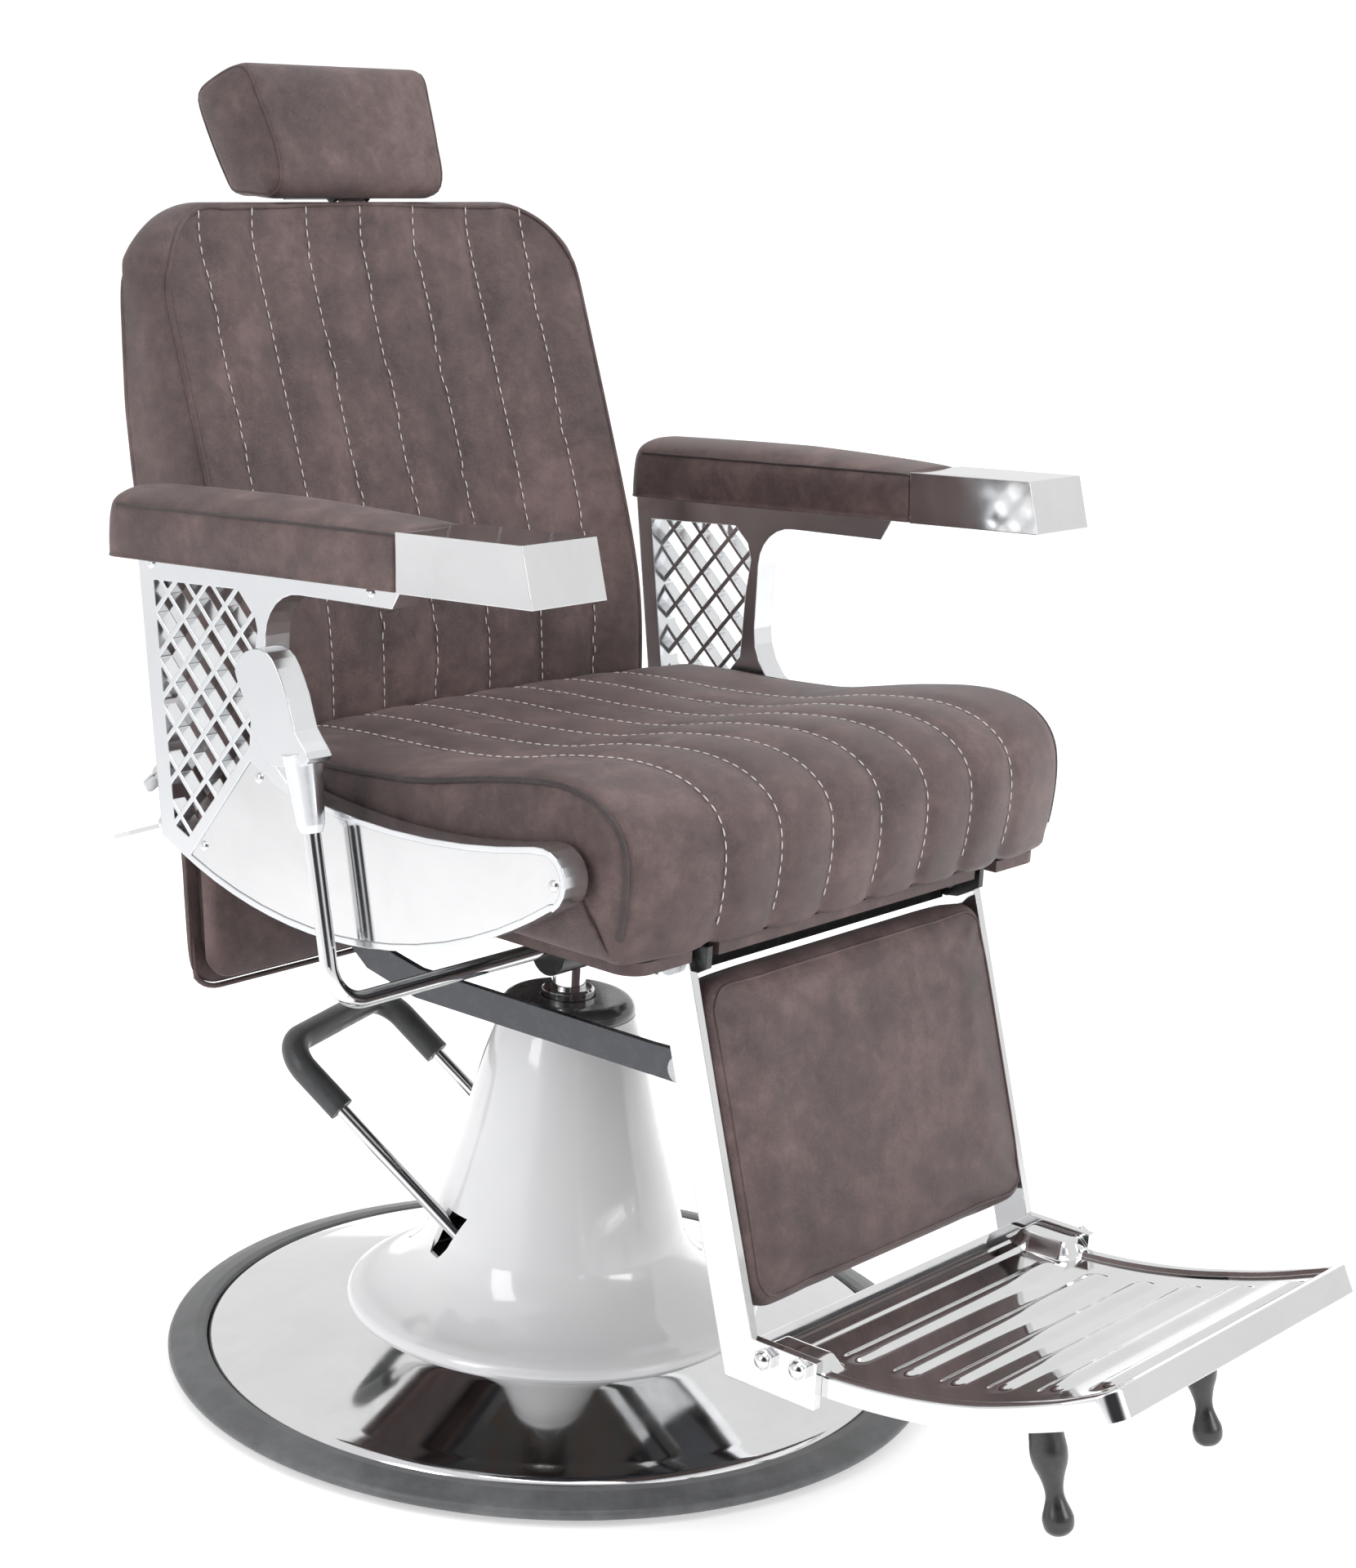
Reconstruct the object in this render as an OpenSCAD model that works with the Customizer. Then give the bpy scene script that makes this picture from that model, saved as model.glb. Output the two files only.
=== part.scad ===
// Hydraulic barber chair.
// X runs across the chair (sitter's left is +X), the sitter faces -Y, Z is up.
// The origin lies on the floor, on the axis of the lifting column.

/* [Base and column] */
// Diameter over the rubber rim of the round base
base_d = 680; // [620:10:740]
// Rise of the chrome dome from the rim to its middle
dome_rise = 22; // [16:1:26]
// Height of the column shroud's top above the floor
shroud_h = 335; // [328:1:342]
// Radius of the shroud's brim
brim_r = 184; // [175:1:200]
// Radius of the shroud's top
shroud_top_r = 54; // [50:1:58]
// Diameter of the lifting ram
ram_d = 30; // [26:1:34]
/* [Pump pedal] */
// Half the distance between the two rods of the pedal
pedal_half_w = 90; // [84:1:92]
// Length of a pedal rod from its shaft to the grip bar
pedal_reach = 245; // [200:5:260]
// Slope of the raised pedal
pedal_slope = 38; // [34:1:40]
// Turn of the pedal from straight behind towards the sitter's right
pedal_turn = 17; // [0:1:30]
/* [Seat] */
// Height of the seat's underside above the floor
seat_z = 486; // [480:2:520]
// Width of the seat cushion
seat_w = 570; // [540:5:570]
// Distance between two rows of stitches on the seat
seat_pitch = 63; // [58:1:66]
// Depth of the stitched channels
channel_depth = 6; // [3:0.5:8]
/* [Side frames and arms] */
// Gap between the seat cushion and each side casting
side_gap = 9; // [9:1:16]
// Thickness of the side castings
frame_t = 26; // [20:1:26]
// Width of a diamond of the lattice
lattice_w = 34; // [28:1:40]
// Height of a diamond of the lattice
lattice_h = 36; // [30:1:44]
// Width of the lattice bars
lattice_bar = 4; // [3:0.5:6]
// Rise of the arm towards the front
arm_rise = 3.7; // [0:0.1:5]
// Width of the arm pads
arm_w = 79; // [70:1:84]
// Height of the arm pads
arm_h = 45; // [38:1:50]
/* [Backrest] */
// Width of the backrest
back_w = 510; // [480:2:520]
// Height of the backrest's top above the seat's underside
back_top = 508; // [480:2:540]
// Distance between two rows of stitches on the backrest
back_pitch = 65; // [60:1:66]
// How far the backrest's sides come forward of its middle
back_wrap = 22; // [10:1:26]
// Lean of the upper backrest from upright
back_lean = 20.5; // [16:0.5:24]
/* [Headrest] */
// Width of the headrest
head_w = 210; // [180:2:260]
// Thickness of the headrest
head_t = 68; // [56:1:76]
// Height of the headrest
head_h = 98; // [88:1:110]
/* [Leg rest] */
// Distance between the outer faces of the leg rest's side bars
leg_span = 384; // [376:2:400]
// Lean of the leg rest from upright
leg_lean = 16.5; // [14:0.5:18]
// Width of the side bars
leg_bar_w = 33; // [29:1:33]
// Length of the footplate from heel to toe
plate_l = 320; // [290:5:330]
// Radius of the footplate's upward sweep
plate_sweep = 600; // [560:10:700]
// Width of the footplate at the toe
plate_toe_w = 310; // [280:2:330]
// Number of ribs on the footplate
plate_ribs = 8; // [6:1:9]

/* [Hidden] */
$fn = 64;

// Colours
leather = "#63504a";
chrome = "#d9dcdf";
white = "#f2f2f0";
black = "#1d1e21";
steel = "#8b9096";
blue_grey = "#3c4250";
wood = "#b08d5f";
iron = "#4a4b4d";

// Gaps between parts
fit = 0.05; // radial clearance of a running bore
gap = 0.3; // clearance between parts that lie side by side
edge_steps = [0, 0.07, 0.28, 0.62, 1]; // places of sections over a rounded edge
wall = 3; // wall of a pressed shell

// Base and column
base_r = base_d / 2;
rim_h = 21;
rim_w = 34;
weight_h = 10;
weight_z = 4;
flange_z = weight_z + weight_h;
flange_r = 80;
flange_h = 10;
cylinder_r = 30;
bore_r = 22;
collar_h = 14;
cylinder_top = shroud_h - 18;
gland_z = shroud_h + 8;
dome_z0 = 15;
brim_z = 55;
brim_t = 9;
shaft_y = 38;
shaft_z = 119;
shaft_r = 6;
rod_r = 6;
grip_r = 12;
bend_r = 30;
plunger_y = shaft_y + 24;
plunger_r = 8;
block_z1 = 98;
plunger_head_z = block_z1 + 12;
bolt_r = flange_r - 18;
bolt_turns = [15, 165, 240, 300];
spring_wire = 2;
spring_r = shaft_r + spring_wire + gap;
spring_turns = 5;

// Ram and the parts under the seat
ram_z0 = 58;
ram_z1 = seat_z - 50;
piston_h = 24;
hub_z0 = seat_z - 82;
rail_x = 112;
rail_w = 24;
rail_z0 = -36; // rails, below the seat's underside
rail_z1 = -10;
rail_front = -262;
rail_rear = 112;
board_t = 10;

// Pivots, as [y, z] from the seat's underside
back_pivot = [92, -27];
link_rear = [118, -82];
leg_pivot = [-273, -18];
link_front = [-261, -115];
lever_axis = [-60, -76];
pin_r = 6;
lug_r = 15;
bracket_x = 168;
bracket_t = 6;
link_x = 150;
link_t = 6;

// Side frame, as [y, z] from the seat's underside
belly_c = [-20, 387];
belly_r = 420;
nose_c = [-248.5, 63];
nose_r = 25;
deck_r = 650;
deck_c = [-90, 69.5 + deck_r];
deck_z = 74;
post_foot = [167, 9];
post_top_y = 203;
strut_front = 50;
strut_rear = 61;
deck_fillet = 60;
rail_fillet = 38;
rail_t = 18;
rail_front_y = -98;
arm_rear_y = 200;
arm_z = 239;
arm_front_y = -258;
cap_rear_y = -129;
frame_x0 = seat_w / 2 + side_gap;
frame_x1 = frame_x0 + frame_t;
arm_x = frame_x1 - 2;
// The opening between the post, the rail, the strut and the polished plate
lattice_hole = [[183, 219], [80, 227], [strut_rear + 3, 213], [strut_rear - 2, 198],
    [strut_rear + 2, 165], [strut_rear + 4, 105], [135, 15], [152, 22]];
lattice_node = [165.5, 211]; // crossing at the upper rear of the lattice
lattice_lean = 0.11; // lean of the lattice's columns
lattice_t = 13;
mount_spots = [[-60, 40], [20, 40]];
rail_screw_spots = [[186, 232], [-65, 247]];
plate_screw_spots = [[54, 80], [117, 11], [-262, 62]];
arm_l = (arm_rear_y - arm_front_y) / cos(arm_rise);
cap_l = (cap_rear_y - arm_front_y) / cos(arm_rise);
cap_wall = 1.5;
clamp_x = (frame_x0 + frame_x1) / 2; // wing screw and thumb lever, across the chair
wing_spot = [174, 57];
paddle_spot = [166, 16];

// Recline lever and lock
lever_x0 = -64;
lever_x1 = -frame_x1 - 20;
lever_bend = 32;
lever_lean = 12.8;
lever_r = 7;
lever_up = 128;
lock_x = 142;
lock_axis = -70.4;
lock_front = -132;
lock_eye = back_pivot + [18, -42];

// Backrest
knee_z = 159;
back_front_y = 164;
board_line = [[-136, 200], [-31, 212], [114, 243], [279, 282], [339, 293], [502, 308]];
corner_r = 84;

// Headrest
socket_w = 46;
stem_w = 34;
stem_t = 5;
stem_lean = 5.26;
stem_foot = [288, 339];
head_pivot = [305, 514];
head_mid = [341, 566];
head_lean = 28;

// Leg rest
leg_x1 = leg_span / 2;
leg_bar_t = 8;
pad_top = -18;
pad_foot = -276;
pad_front = -21;
pad_rear = 8;
heel_z = -332;
toe_y = -435;
foot_h = 38;
sweep_start = [-402, -306.5];
plate_rear_y = -356;
plate_t = 7;
plate_rim = 22;
rib_r = 9; // round of a rib's top
rib_h = 3; // how far a rib stands out of the tread
plate_heel_w = 342;
foot_bolt_spots = [[-388, -305], [-421, -302]];
spindle_x = 108;
spindle_y = -578;
spindle_lean = 15;

// ---------- helpers ----------

// Points of an arc round c, as [y, z]
function arc(c, r, a0, a1, n) = [for (i = [0:n]) let (a = a0 + (a1 - a0) * i / n) c + r * [cos(a), sin(a)]];

// A value of the smooth ramp that starts at 0 and follows d from there
function ramp(d, soft) = (d + sqrt(d * d + soft * soft)) / 2;

// Catmull-Rom curve through a closed list of points, n steps to each
function closed_curve(p, n) = [for (i = [0:len(p) - 1], k = [0:n - 1]) let (
    m = len(p), t = k / n, a = p[(i + m - 1) % m], b = p[i], c = p[(i + 1) % m], d = p[(i + 2) % m])
    0.5 * (2 * b + (c - a) * t + (2 * a - 5 * b + 4 * c - d) * t * t + (3 * b - a - 3 * c + d) * t * t * t)];

// Outward normals of a closed clockwise list of points
function normals(p) = [for (i = [0:len(p) - 1]) let (
    t = p[(i + 1) % len(p)] - p[(i + len(p) - 1) % len(p)]) [-t.y, t.x] / norm(t)];

// Depth of the stitched channel at x, for seven rows of stitches a pitch apart
function groove(x, pitch) = let (
    k = max(-3, min(3, round(x / pitch))), d = abs(x - k * pitch) / (pitch / 2))
    channel_depth * pow(max(0, 1 - d), 2);

// Places across a channelled cushion: four to a channel, and closer ones over the rounded edge
function stations(pitch, half, edge) = let (
    side = concat([for (k = [0:2], u = [0:3]) (k + u / 4) * pitch], [3 * pitch],
        [for (u = [1:3]) 3 * pitch + (half - edge - 3 * pitch) * u / 3],
        [half - edge * 0.62, half - edge * 0.28, half - edge * 0.07, half]))
    concat([for (i = [len(side) - 1:-1:1]) -side[i]], side);

// How far an edge of radius r has drawn in at the distance d from the side
function edge_in(d, r) = d >= r ? 0 : r - sqrt(max(0, r * r - (r - d) * (r - d)));

// Closed skin over rings of points
module skin(rings) {
    n = len(rings[0]);
    m = len(rings);
    points = [for (r = rings) each r];
    sides = [for (i = [0:m - 2], j = [0:n - 1]) [i * n + j, i * n + (j + 1) % n,
        (i + 1) * n + (j + 1) % n, (i + 1) * n + j]];
    first = [for (j = [n - 1:-1:0]) j];
    last = [for (j = [0:n - 1]) (m - 1) * n + j];
    polyhedron(points, concat([first], sides, [last]));
}

// A flat part cut from the [y, z] outline, from x0 to x0 + t
module slab(x0, t) {
    translate([x0, 0, 0]) rotate([90, 0, 90]) linear_extrude(t) children();
}

// A cylinder along X round [y, z]
module pin(c, r, x0, x1) {
    translate([x0, c.x, c.y]) rotate([0, 90, 0]) cylinder(r = r, h = x1 - x0);
}

// Things on the sitter's right (-1) or left (1) side
module on_side(side) {
    mirror([side < 0 ? 1 : 0, 0, 0]) children();
}

// Things measured from the seat's underside
module at_seat() {
    translate([0, 0, seat_z]) children();
}

// Things in the pedal's own direction
module at_pedal() {
    rotate([0, 0, pedal_turn]) children();
}

// A pan head screw along X at [y, z]: head on the outside of x, shank inwards
module side_screw(c, x, head_r, shank) {
    shank_r = head_r * 0.45;
    translate([x, c.x, c.y]) rotate([0, 90, 0]) rotate_extrude($fn = 32) polygon(concat(
        [[0, -shank], [shank_r, -shank], [shank_r, 0]],
        [for (a = [0:18:90]) head_r * [cos(a), 0.6 * sin(a)]]));
}

// A rectangle with round corners, from [x0, y0] to [x1, y1]
module round_rect(x0, y0, x1, y1, r) {
    union() {
        translate([x0 + r, y0]) square([x1 - x0 - 2 * r, y1 - y0]);
        translate([x0, y0 + r]) square([x1 - x0, y1 - y0 - 2 * r]);
        for (x = [x0 + r, x1 - r], y = [y0 + r, y1 - r]) translate([x, y]) circle(r);
    }
}

// ---------- base ----------

// Height of the dome's outer face at the radius r
function dome(r) = dome_z0 + dome_rise * (1 - pow(r / (base_r - rim_w + 2), 2));

module base_weight() {
    color(iron) difference() {
        translate([0, 0, weight_z]) cylinder(r = base_r - rim_w - gap, h = weight_h, $fn = 96);
        at_pedal() for (a = bolt_turns) rotate([0, 0, a]) translate([bolt_r, 0, 0])
            cylinder(r = 5.1, h = rim_h);
    }
}

module base_rim() {
    inner = base_r - rim_w;
    color(black) rotate_extrude($fn = 96) polygon(concat(
        [[inner, weight_z], [inner - 16, weight_z], [inner - 16, 0], [inner, 0]],
        arc([base_r - 5, rim_h / 2], 5, -70, 60, 5),
        [[base_r - 12, rim_h - 3], [inner + 10, rim_h], [inner + 2, rim_h], [inner, rim_h - 2]]));
}

module base_cover() {
    outer = base_r - rim_w - gap;
    inner = flange_r + 6;
    steps = 12;
    top = [for (i = [0:steps]) let (r = inner + (outer - inner) * i / steps) [r, dome(r)]];
    under = [for (i = [steps:-1:0]) let (r = inner + (outer - wall - inner) * i / steps)
        [r, max(flange_z, dome(r) - wall)]];
    color(chrome) rotate_extrude($fn = 96) polygon(concat(top,
        [[outer, flange_z], [outer - wall, flange_z]], under));
}

// Outer profile of the shroud from its foot under the brim up to the cap, as [r, z]
function shroud_line() = let (foot = dome(brim_r - 44) + gap, cone_r = shroud_top_r + 58)
    concat([[brim_r - 44, foot], [brim_r - 41, brim_z - brim_t + 2]],
        arc([brim_r - brim_t, brim_z], brim_t, -90, 60, 7),
        [[brim_r - 24, brim_z + 14], [brim_r - 37, brim_z + 22]],
        arc([cone_r + 46, 126], 46, -120, -180, 5),
        [[shroud_top_r + 47, 165], [shroud_top_r + 32, 218], [shroud_top_r + 17, 280],
        [shroud_top_r + 8, shroud_h - 24], [shroud_top_r + 6, shroud_h - collar_h]]);

module column_shroud() {
    line = shroud_line();
    n = len(line);
    inner = [for (i = [n - 1:-1:0]) let (a = line[max(0, i - 1)], b = line[min(n - 1, i + 1)], t = b - a)
        line[i] + wall * [-t.y, t.x] / norm(t)];
    color(white) difference() {
        rotate_extrude($fn = 96) polygon(concat(line, [[ram_d / 2 + 21, shroud_h - collar_h],
            [ram_d / 2 + 21, shroud_h - collar_h - wall]], [for (i = [1:n - 1]) inner[i]]));
        at_pedal() for (side = [-1, 1]) translate([side * pedal_half_w - rod_r - 2, 20, 108])
            cube([2 * rod_r + 4, 60, 42]);
    }
}

// Rounded cap over the top of the shroud, with the hole for the ram
module shroud_collar() {
    bore = ram_d / 2 + 9;
    seat = ram_d / 2 + 21;
    color(steel) rotate_extrude() polygon(concat(
        [[seat, shroud_h - collar_h], [shroud_top_r + 5.5, shroud_h - collar_h]],
        arc([shroud_top_r - 6, shroud_h - 12], 12, 0, 90, 6),
        [[bore, shroud_h], [bore, shroud_h - 7], [seat, shroud_h - 7]]));
}

module pump_cylinder() {
    color(iron) difference() {
        union() {
            translate([0, 0, flange_z]) cylinder(r = flange_r, h = flange_h);
            translate([0, 0, flange_z]) cylinder(r = cylinder_r, h = cylinder_top - flange_z);
        }
        translate([0, 0, flange_z + 30]) cylinder(r = bore_r, h = shroud_h);
        at_pedal() for (a = bolt_turns) rotate([0, 0, a]) translate([bolt_r, 0, 0])
            cylinder(r = 5.1, h = 60);
        at_pedal() translate([-30, cylinder_r - 2, flange_z - 1]) cube([60, 60, flange_h + 2]);
    }
}

module pump_bolts() {
    color(steel) at_pedal() for (a = bolt_turns) rotate([0, 0, a]) translate([bolt_r, 0, 0]) {
        translate([0, 0, weight_z]) cylinder(r = 5, h = weight_h + flange_h);
        translate([0, 0, flange_z + flange_h]) cylinder(r = 9, h = 7, $fn = 6);
    }
}

module gland_nut() {
    color(chrome) rotate_extrude() polygon([[ram_d / 2 + fit, cylinder_top], [cylinder_r + 3, cylinder_top],
        [cylinder_r + 3, shroud_h - 8], [ram_d / 2 + 8, shroud_h - 8], [ram_d / 2 + 8, gland_z - 2],
        [ram_d / 2 + 6, gland_z], [ram_d / 2 + fit, gland_z]]);
}

// Pump valve block behind the cylinder, with two ears for the pedal's shaft
module pump_block() {
    color(iron) at_pedal() difference() {
        union() {
            translate([-26, cylinder_r - 1, flange_z]) cube([52, plunger_y + 16 - cylinder_r, block_z1 - flange_z]);
            for (side = [-1, 1]) {
                translate([side * 20 - 6, cylinder_r + 0.4, block_z1 - 1])
                    cube([12, 2 * (shaft_y - cylinder_r) - 0.8, shaft_z - block_z1 + 1]);
                pin([shaft_y, shaft_z], 7.6, side * 20 - 6, side * 20 + 6);
            }
        }
        cylinder(r = cylinder_r, h = shroud_h);
        pin([shaft_y, shaft_z], shaft_r + fit, -40, 40);
        translate([0, plunger_y, flange_z + 20]) cylinder(r = plunger_r + fit, h = shroud_h);
    }
}

// Torsion spring round the pedal's shaft
module pedal_spring() {
    steps = 14;
    sides = 6;
    color(steel) at_pedal() skin([for (i = [0:steps * spring_turns]) let (
        a = 360 * i / steps, x = 30 + (spring_wire * 2 + 0.6) * i / steps)
        [for (j = [0:sides - 1]) let (b = 360 * j / sides, r = spring_r + spring_wire * cos(b))
            [x + spring_wire * sin(b), shaft_y + r * cos(a), shaft_z + r * sin(a)]]]);
}

module pedal_shaft() {
    color(steel) at_pedal() {
        difference() {
            union() {
                pin([shaft_y, shaft_z], shaft_r, -pedal_half_w, pedal_half_w);
                for (side = [-1, 1]) pin([shaft_y, shaft_z], rod_r + 3, side * pedal_half_w - 6,
                    side * pedal_half_w + 6);
                translate([-6, shaft_y, shaft_z - 5]) cube([12, plunger_y - shaft_y, 10]);
                pin([plunger_y, shaft_z], 5, -6, 6);
                pin([shaft_y, shaft_z], 7, -6, 6);
            }
            for (side = [-1, 1]) translate([side * pedal_half_w, shaft_y, shaft_z])
                rotate([pedal_slope - 90, 0, 0]) translate([0, 0, 4]) cylinder(r = rod_r, h = 20);
        }
    }
}

// The pedal's bent rod, in its own plane: v runs from the shaft to the grip
module pedal_plane() {
    at_pedal() translate([0, shaft_y, shaft_z]) rotate([pedal_slope, 0, 0]) children();
}

module pedal_corner(side, r, a0) {
    translate([side * (pedal_half_w - bend_r), pedal_reach - bend_r, 0]) rotate([0, 0, side > 0 ? 0 : 90])
        rotate_extrude(angle = 90) translate([bend_r, 0]) circle(r, $fn = 24);
}

module pedal_bar() {
    color(chrome) pedal_plane() {
        for (side = [-1, 1]) {
            translate([side * pedal_half_w, 4, 0]) rotate([-90, 0, 0])
                cylinder(r = rod_r, h = pedal_reach - bend_r - 4, $fn = 24);
            pedal_corner(side, rod_r);
        }
        translate([bend_r - pedal_half_w, pedal_reach, 0]) rotate([0, 90, 0])
            cylinder(r = rod_r, h = 2 * (pedal_half_w - bend_r), $fn = 24);
    }
}

module pedal_grip() {
    sleeve = 46;
    color(black) pedal_plane() difference() {
        union() {
            for (side = [-1, 1]) {
                translate([side * pedal_half_w, pedal_reach - bend_r - sleeve, 0]) rotate([-90, 0, 0])
                    cylinder(r = grip_r, h = sleeve, $fn = 24);
                pedal_corner(side, grip_r);
            }
            translate([bend_r - pedal_half_w, pedal_reach, 0]) rotate([0, 90, 0])
                cylinder(r = grip_r, h = 2 * (pedal_half_w - bend_r), $fn = 24);
        }
        for (side = [-1, 1]) {
            translate([side * pedal_half_w, 0, 0]) rotate([-90, 0, 0])
                cylinder(r = rod_r + fit, h = pedal_reach - bend_r, $fn = 24);
            pedal_corner(side, rod_r + fit);
        }
        translate([bend_r - pedal_half_w, pedal_reach, 0]) rotate([0, 90, 0])
            cylinder(r = rod_r + fit, h = 2 * (pedal_half_w - bend_r), $fn = 24);
    }
}

module pump_plunger() {
    color(steel) at_pedal() translate([0, plunger_y, 0]) {
        translate([0, 0, flange_z + 40]) cylinder(r = plunger_r, h = plunger_head_z - flange_z - 40);
        translate([0, 0, plunger_head_z]) cylinder(r = plunger_r + 2, h = shaft_z - 5 - gap - plunger_head_z);
    }
}

// ---------- ram ----------

module ram() {
    color(chrome) union() {
        translate([0, 0, ram_z0]) cylinder(r = ram_d / 2, h = ram_z1 - ram_z0);
        translate([0, 0, hub_z0 - 8]) cylinder(r = ram_d / 2 + 7, h = 8 - gap);
    }
}

module ram_piston() {
    color(iron) translate([0, 0, ram_z0 - 6]) difference() {
        cylinder(r = bore_r - fit, h = piston_h);
        translate([0, 0, 6]) cylinder(r = ram_d / 2 + 0.02, h = piston_h);
    }
}

// ---------- seat ----------

module seat_hub() {
    color(iron) difference() {
        union() {
            translate([0, 0, hub_z0]) cylinder(r = 30, h = seat_z + rail_z0 - hub_z0);
            translate([-rail_x - rail_w / 2, -90, seat_z + rail_z0 - 8])
                cube([2 * rail_x + rail_w, 180, 8]);
        }
        translate([0, 0, hub_z0 - 1]) cylinder(r = ram_d / 2 + fit, h = ram_z1 - hub_z0 + 2);
    }
}

// Welded frame under the seat: rails, cross bars, lugs of the backrest and plates of the leg rest
module seat_subframe() {
    bar = rail_z1 - rail_z0;
    lug_x = bracket_x - 8 - gap;
    leg_x = leg_x1 - leg_bar_t - 6 - gap;
    color(black) at_seat() difference() {
        union() {
            for (side = [-1, 1]) {
                translate([side * rail_x - rail_w / 2, rail_front, rail_z0])
                    cube([rail_w, rail_rear - rail_front, bar]);
                on_side(side) slab(lug_x, 8) union() {
                    translate(back_pivot) circle(lug_r);
                    translate([rail_rear - 24, rail_z0]) square([24, bar]);
                }
                on_side(side) slab(leg_x, 6) polygon([leg_pivot + [-27, 16.5], leg_pivot + [-27, -1],
                    leg_pivot + [-6, -13], [rail_front + 24, rail_z0], [rail_front + 24, rail_z1],
                    [rail_front, rail_z1], [rail_front, leg_pivot.y + 16.5]]);
            }
            translate([-lug_x - 4, rail_rear - 24, rail_z0]) cube([2 * lug_x + 8, 24, bar]);
            translate([-leg_x - 3, rail_front, rail_z0]) cube([2 * leg_x + 6, 24, bar]);
        }
        for (side = [-1, 1]) {
            on_side(side) pin(back_pivot, pin_r, lug_x - 20, lug_x + 20);
            on_side(side) pin(leg_pivot, pin_r, leg_x - 20, leg_x + 20);
        }
    }
}

// Board under the cushion, notched round the pivots of the leg rest
module seat_board() {
    half = seat_w / 2 - 16;
    color(wood) at_seat() difference() {
        translate([0, 0, rail_z1]) linear_extrude(board_t) round_rect(-half, -300, half, 140, 20);
        for (side = [-1, 1]) on_side(side) translate([leg_x1 - 22, -301, rail_z1 - 1])
            cube([32, 53, board_t + 2]);
    }
}

// Section of the seat cushion through its middle, as [y, z] from the seat's underside
seat_line = [[148, 0], [0, 0], [-150, 0], [-300, 0], [-319, 16], [-326, 62], [-321, 96], [-303, 117],
    [-272, 130], [-226, 133], [-160, 124], [-85, 108], [0, 101], [90, 98], [150, 88], [156, 44]];

module seat_cushion() {
    loop = closed_curve(seat_line, 2);
    n = normals(loop);
    half = seat_w / 2;
    edge = 12;
    bulge = 22;
    color(leather) at_seat() skin([for (x = stations(seat_pitch, half, edge)) let (
        e = edge_in(half - abs(x), edge), f = bulge * pow(abs(x) / half, 4), g = groove(x, seat_pitch))
        [for (j = [0:len(loop) - 1]) let (
            top = loop[j].y > 50 || loop[j].x < -300 ? 1 : 0,
            ahead = max(0, -loop[j].x - 180) / 140,
            behind = max(0, loop[j].x - 60) / 96 * back_wrap * pow(min(1, 2 * abs(x) / back_w), 2),
            p = loop[j] - n[j] * (e + g * top))
            [x, p.x + f * ahead - behind, max(0, p.y - 3 * top * pow(abs(x) / half, 4))]]]);
}

// ---------- side frames and arms ----------

// Outline of the polished plate set into the casting
function plate_line(d) = concat(
    arc(belly_c, belly_r - 5 - d, -68.5, -125, 14),
    arc(nose_c, nose_r - 4.5 - d, -135, -258, 7),
    arc(deck_c, deck_r + 4.5 + d, -103, -79.5, 8),
    [[64 - d, 92 - d]]);

module side_casting_outline() {
    rail_under = arm_z + (arm_rear_y - strut_front + rail_fillet) * tan(arm_rise) - rail_t;
    deck_y = strut_front - deck_fillet;
    front_z = arm_z - fit + (arm_rear_y - rail_front_y) * tan(arm_rise);
    polygon(concat(
        [[post_top_y, arm_z - fit - (post_top_y - arm_rear_y) * tan(arm_rise)]],
        [post_foot],
        arc(belly_c, belly_r, -64, -125, 20),
        arc(nose_c, nose_r, -125, -268, 8),
        arc(deck_c, deck_r, -103.5, -84, 6),
        arc([deck_y, deck_z + deck_fillet], deck_fillet, -90, 0, 6),
        arc([strut_front - rail_fillet, rail_under - rail_fillet], rail_fillet, 0, 90, 6),
        [[rail_front_y + 10, front_z - rail_t - 2], [rail_front_y, front_z - 2], [rail_front_y, front_z]]));
}

// Crossed bars that lean with the post, over the whole opening
module lattice() {
    rows = 13;
    columns = 4;
    shrink = lattice_bar / 2 * norm([lattice_w, lattice_h]);
    a = lattice_w / 2 - shrink / lattice_h;
    b = lattice_h / 2 - shrink / lattice_w;
    intersection() {
        polygon(lattice_hole);
        difference() {
            translate([lattice_node.x - 120, 0]) square([150, 240]);
            for (j = [-1:rows], i = [-1:columns]) let (
                drop = j * lattice_h / 2, across = (i + (j % 2 == 0 ? 0.5 : 0)) * lattice_w)
                translate(lattice_node - [across + lattice_lean * drop, drop])
                    polygon([[a, 0], [lattice_lean * b, b], [-a, 0], [-lattice_lean * b, -b]]);
        }
    }
}

module side_frame() {
    color(white) difference() {
        union() {
            difference() {
                slab(frame_x0, frame_t) side_casting_outline();
                slab(frame_x0 - 1, frame_t + 2) polygon(lattice_hole);
                slab(frame_x0 - 1, frame_t - 9) polygon(plate_line(4));
            }
            slab(frame_x1 - lattice_t, lattice_t) lattice();
            for (c = mount_spots) pin(c, 12, frame_x0, frame_x1 - 8);
        }
        slab(frame_x1 - wall, wall + 1) polygon(plate_line(0));
        for (c = mount_spots) pin(c, 5.1, frame_x0 - 1, frame_x1 - 10);
        for (c = plate_screw_spots) pin(c, 2.2, frame_x1 - 9, frame_x1);
        for (c = rail_screw_spots) pin(c, 2.2, frame_x1 - 14, frame_x1 + 1);
        for (c = [wing_spot, paddle_spot]) translate([clamp_x, c.x - 20, c.y]) rotate([-90, 0, 0])
            cylinder(r = 3.6, h = 60);
    }
}
module side_frame_right() { at_seat() on_side(-1) side_frame(); }
module side_frame_left() { at_seat() on_side(1) side_frame(); }

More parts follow.
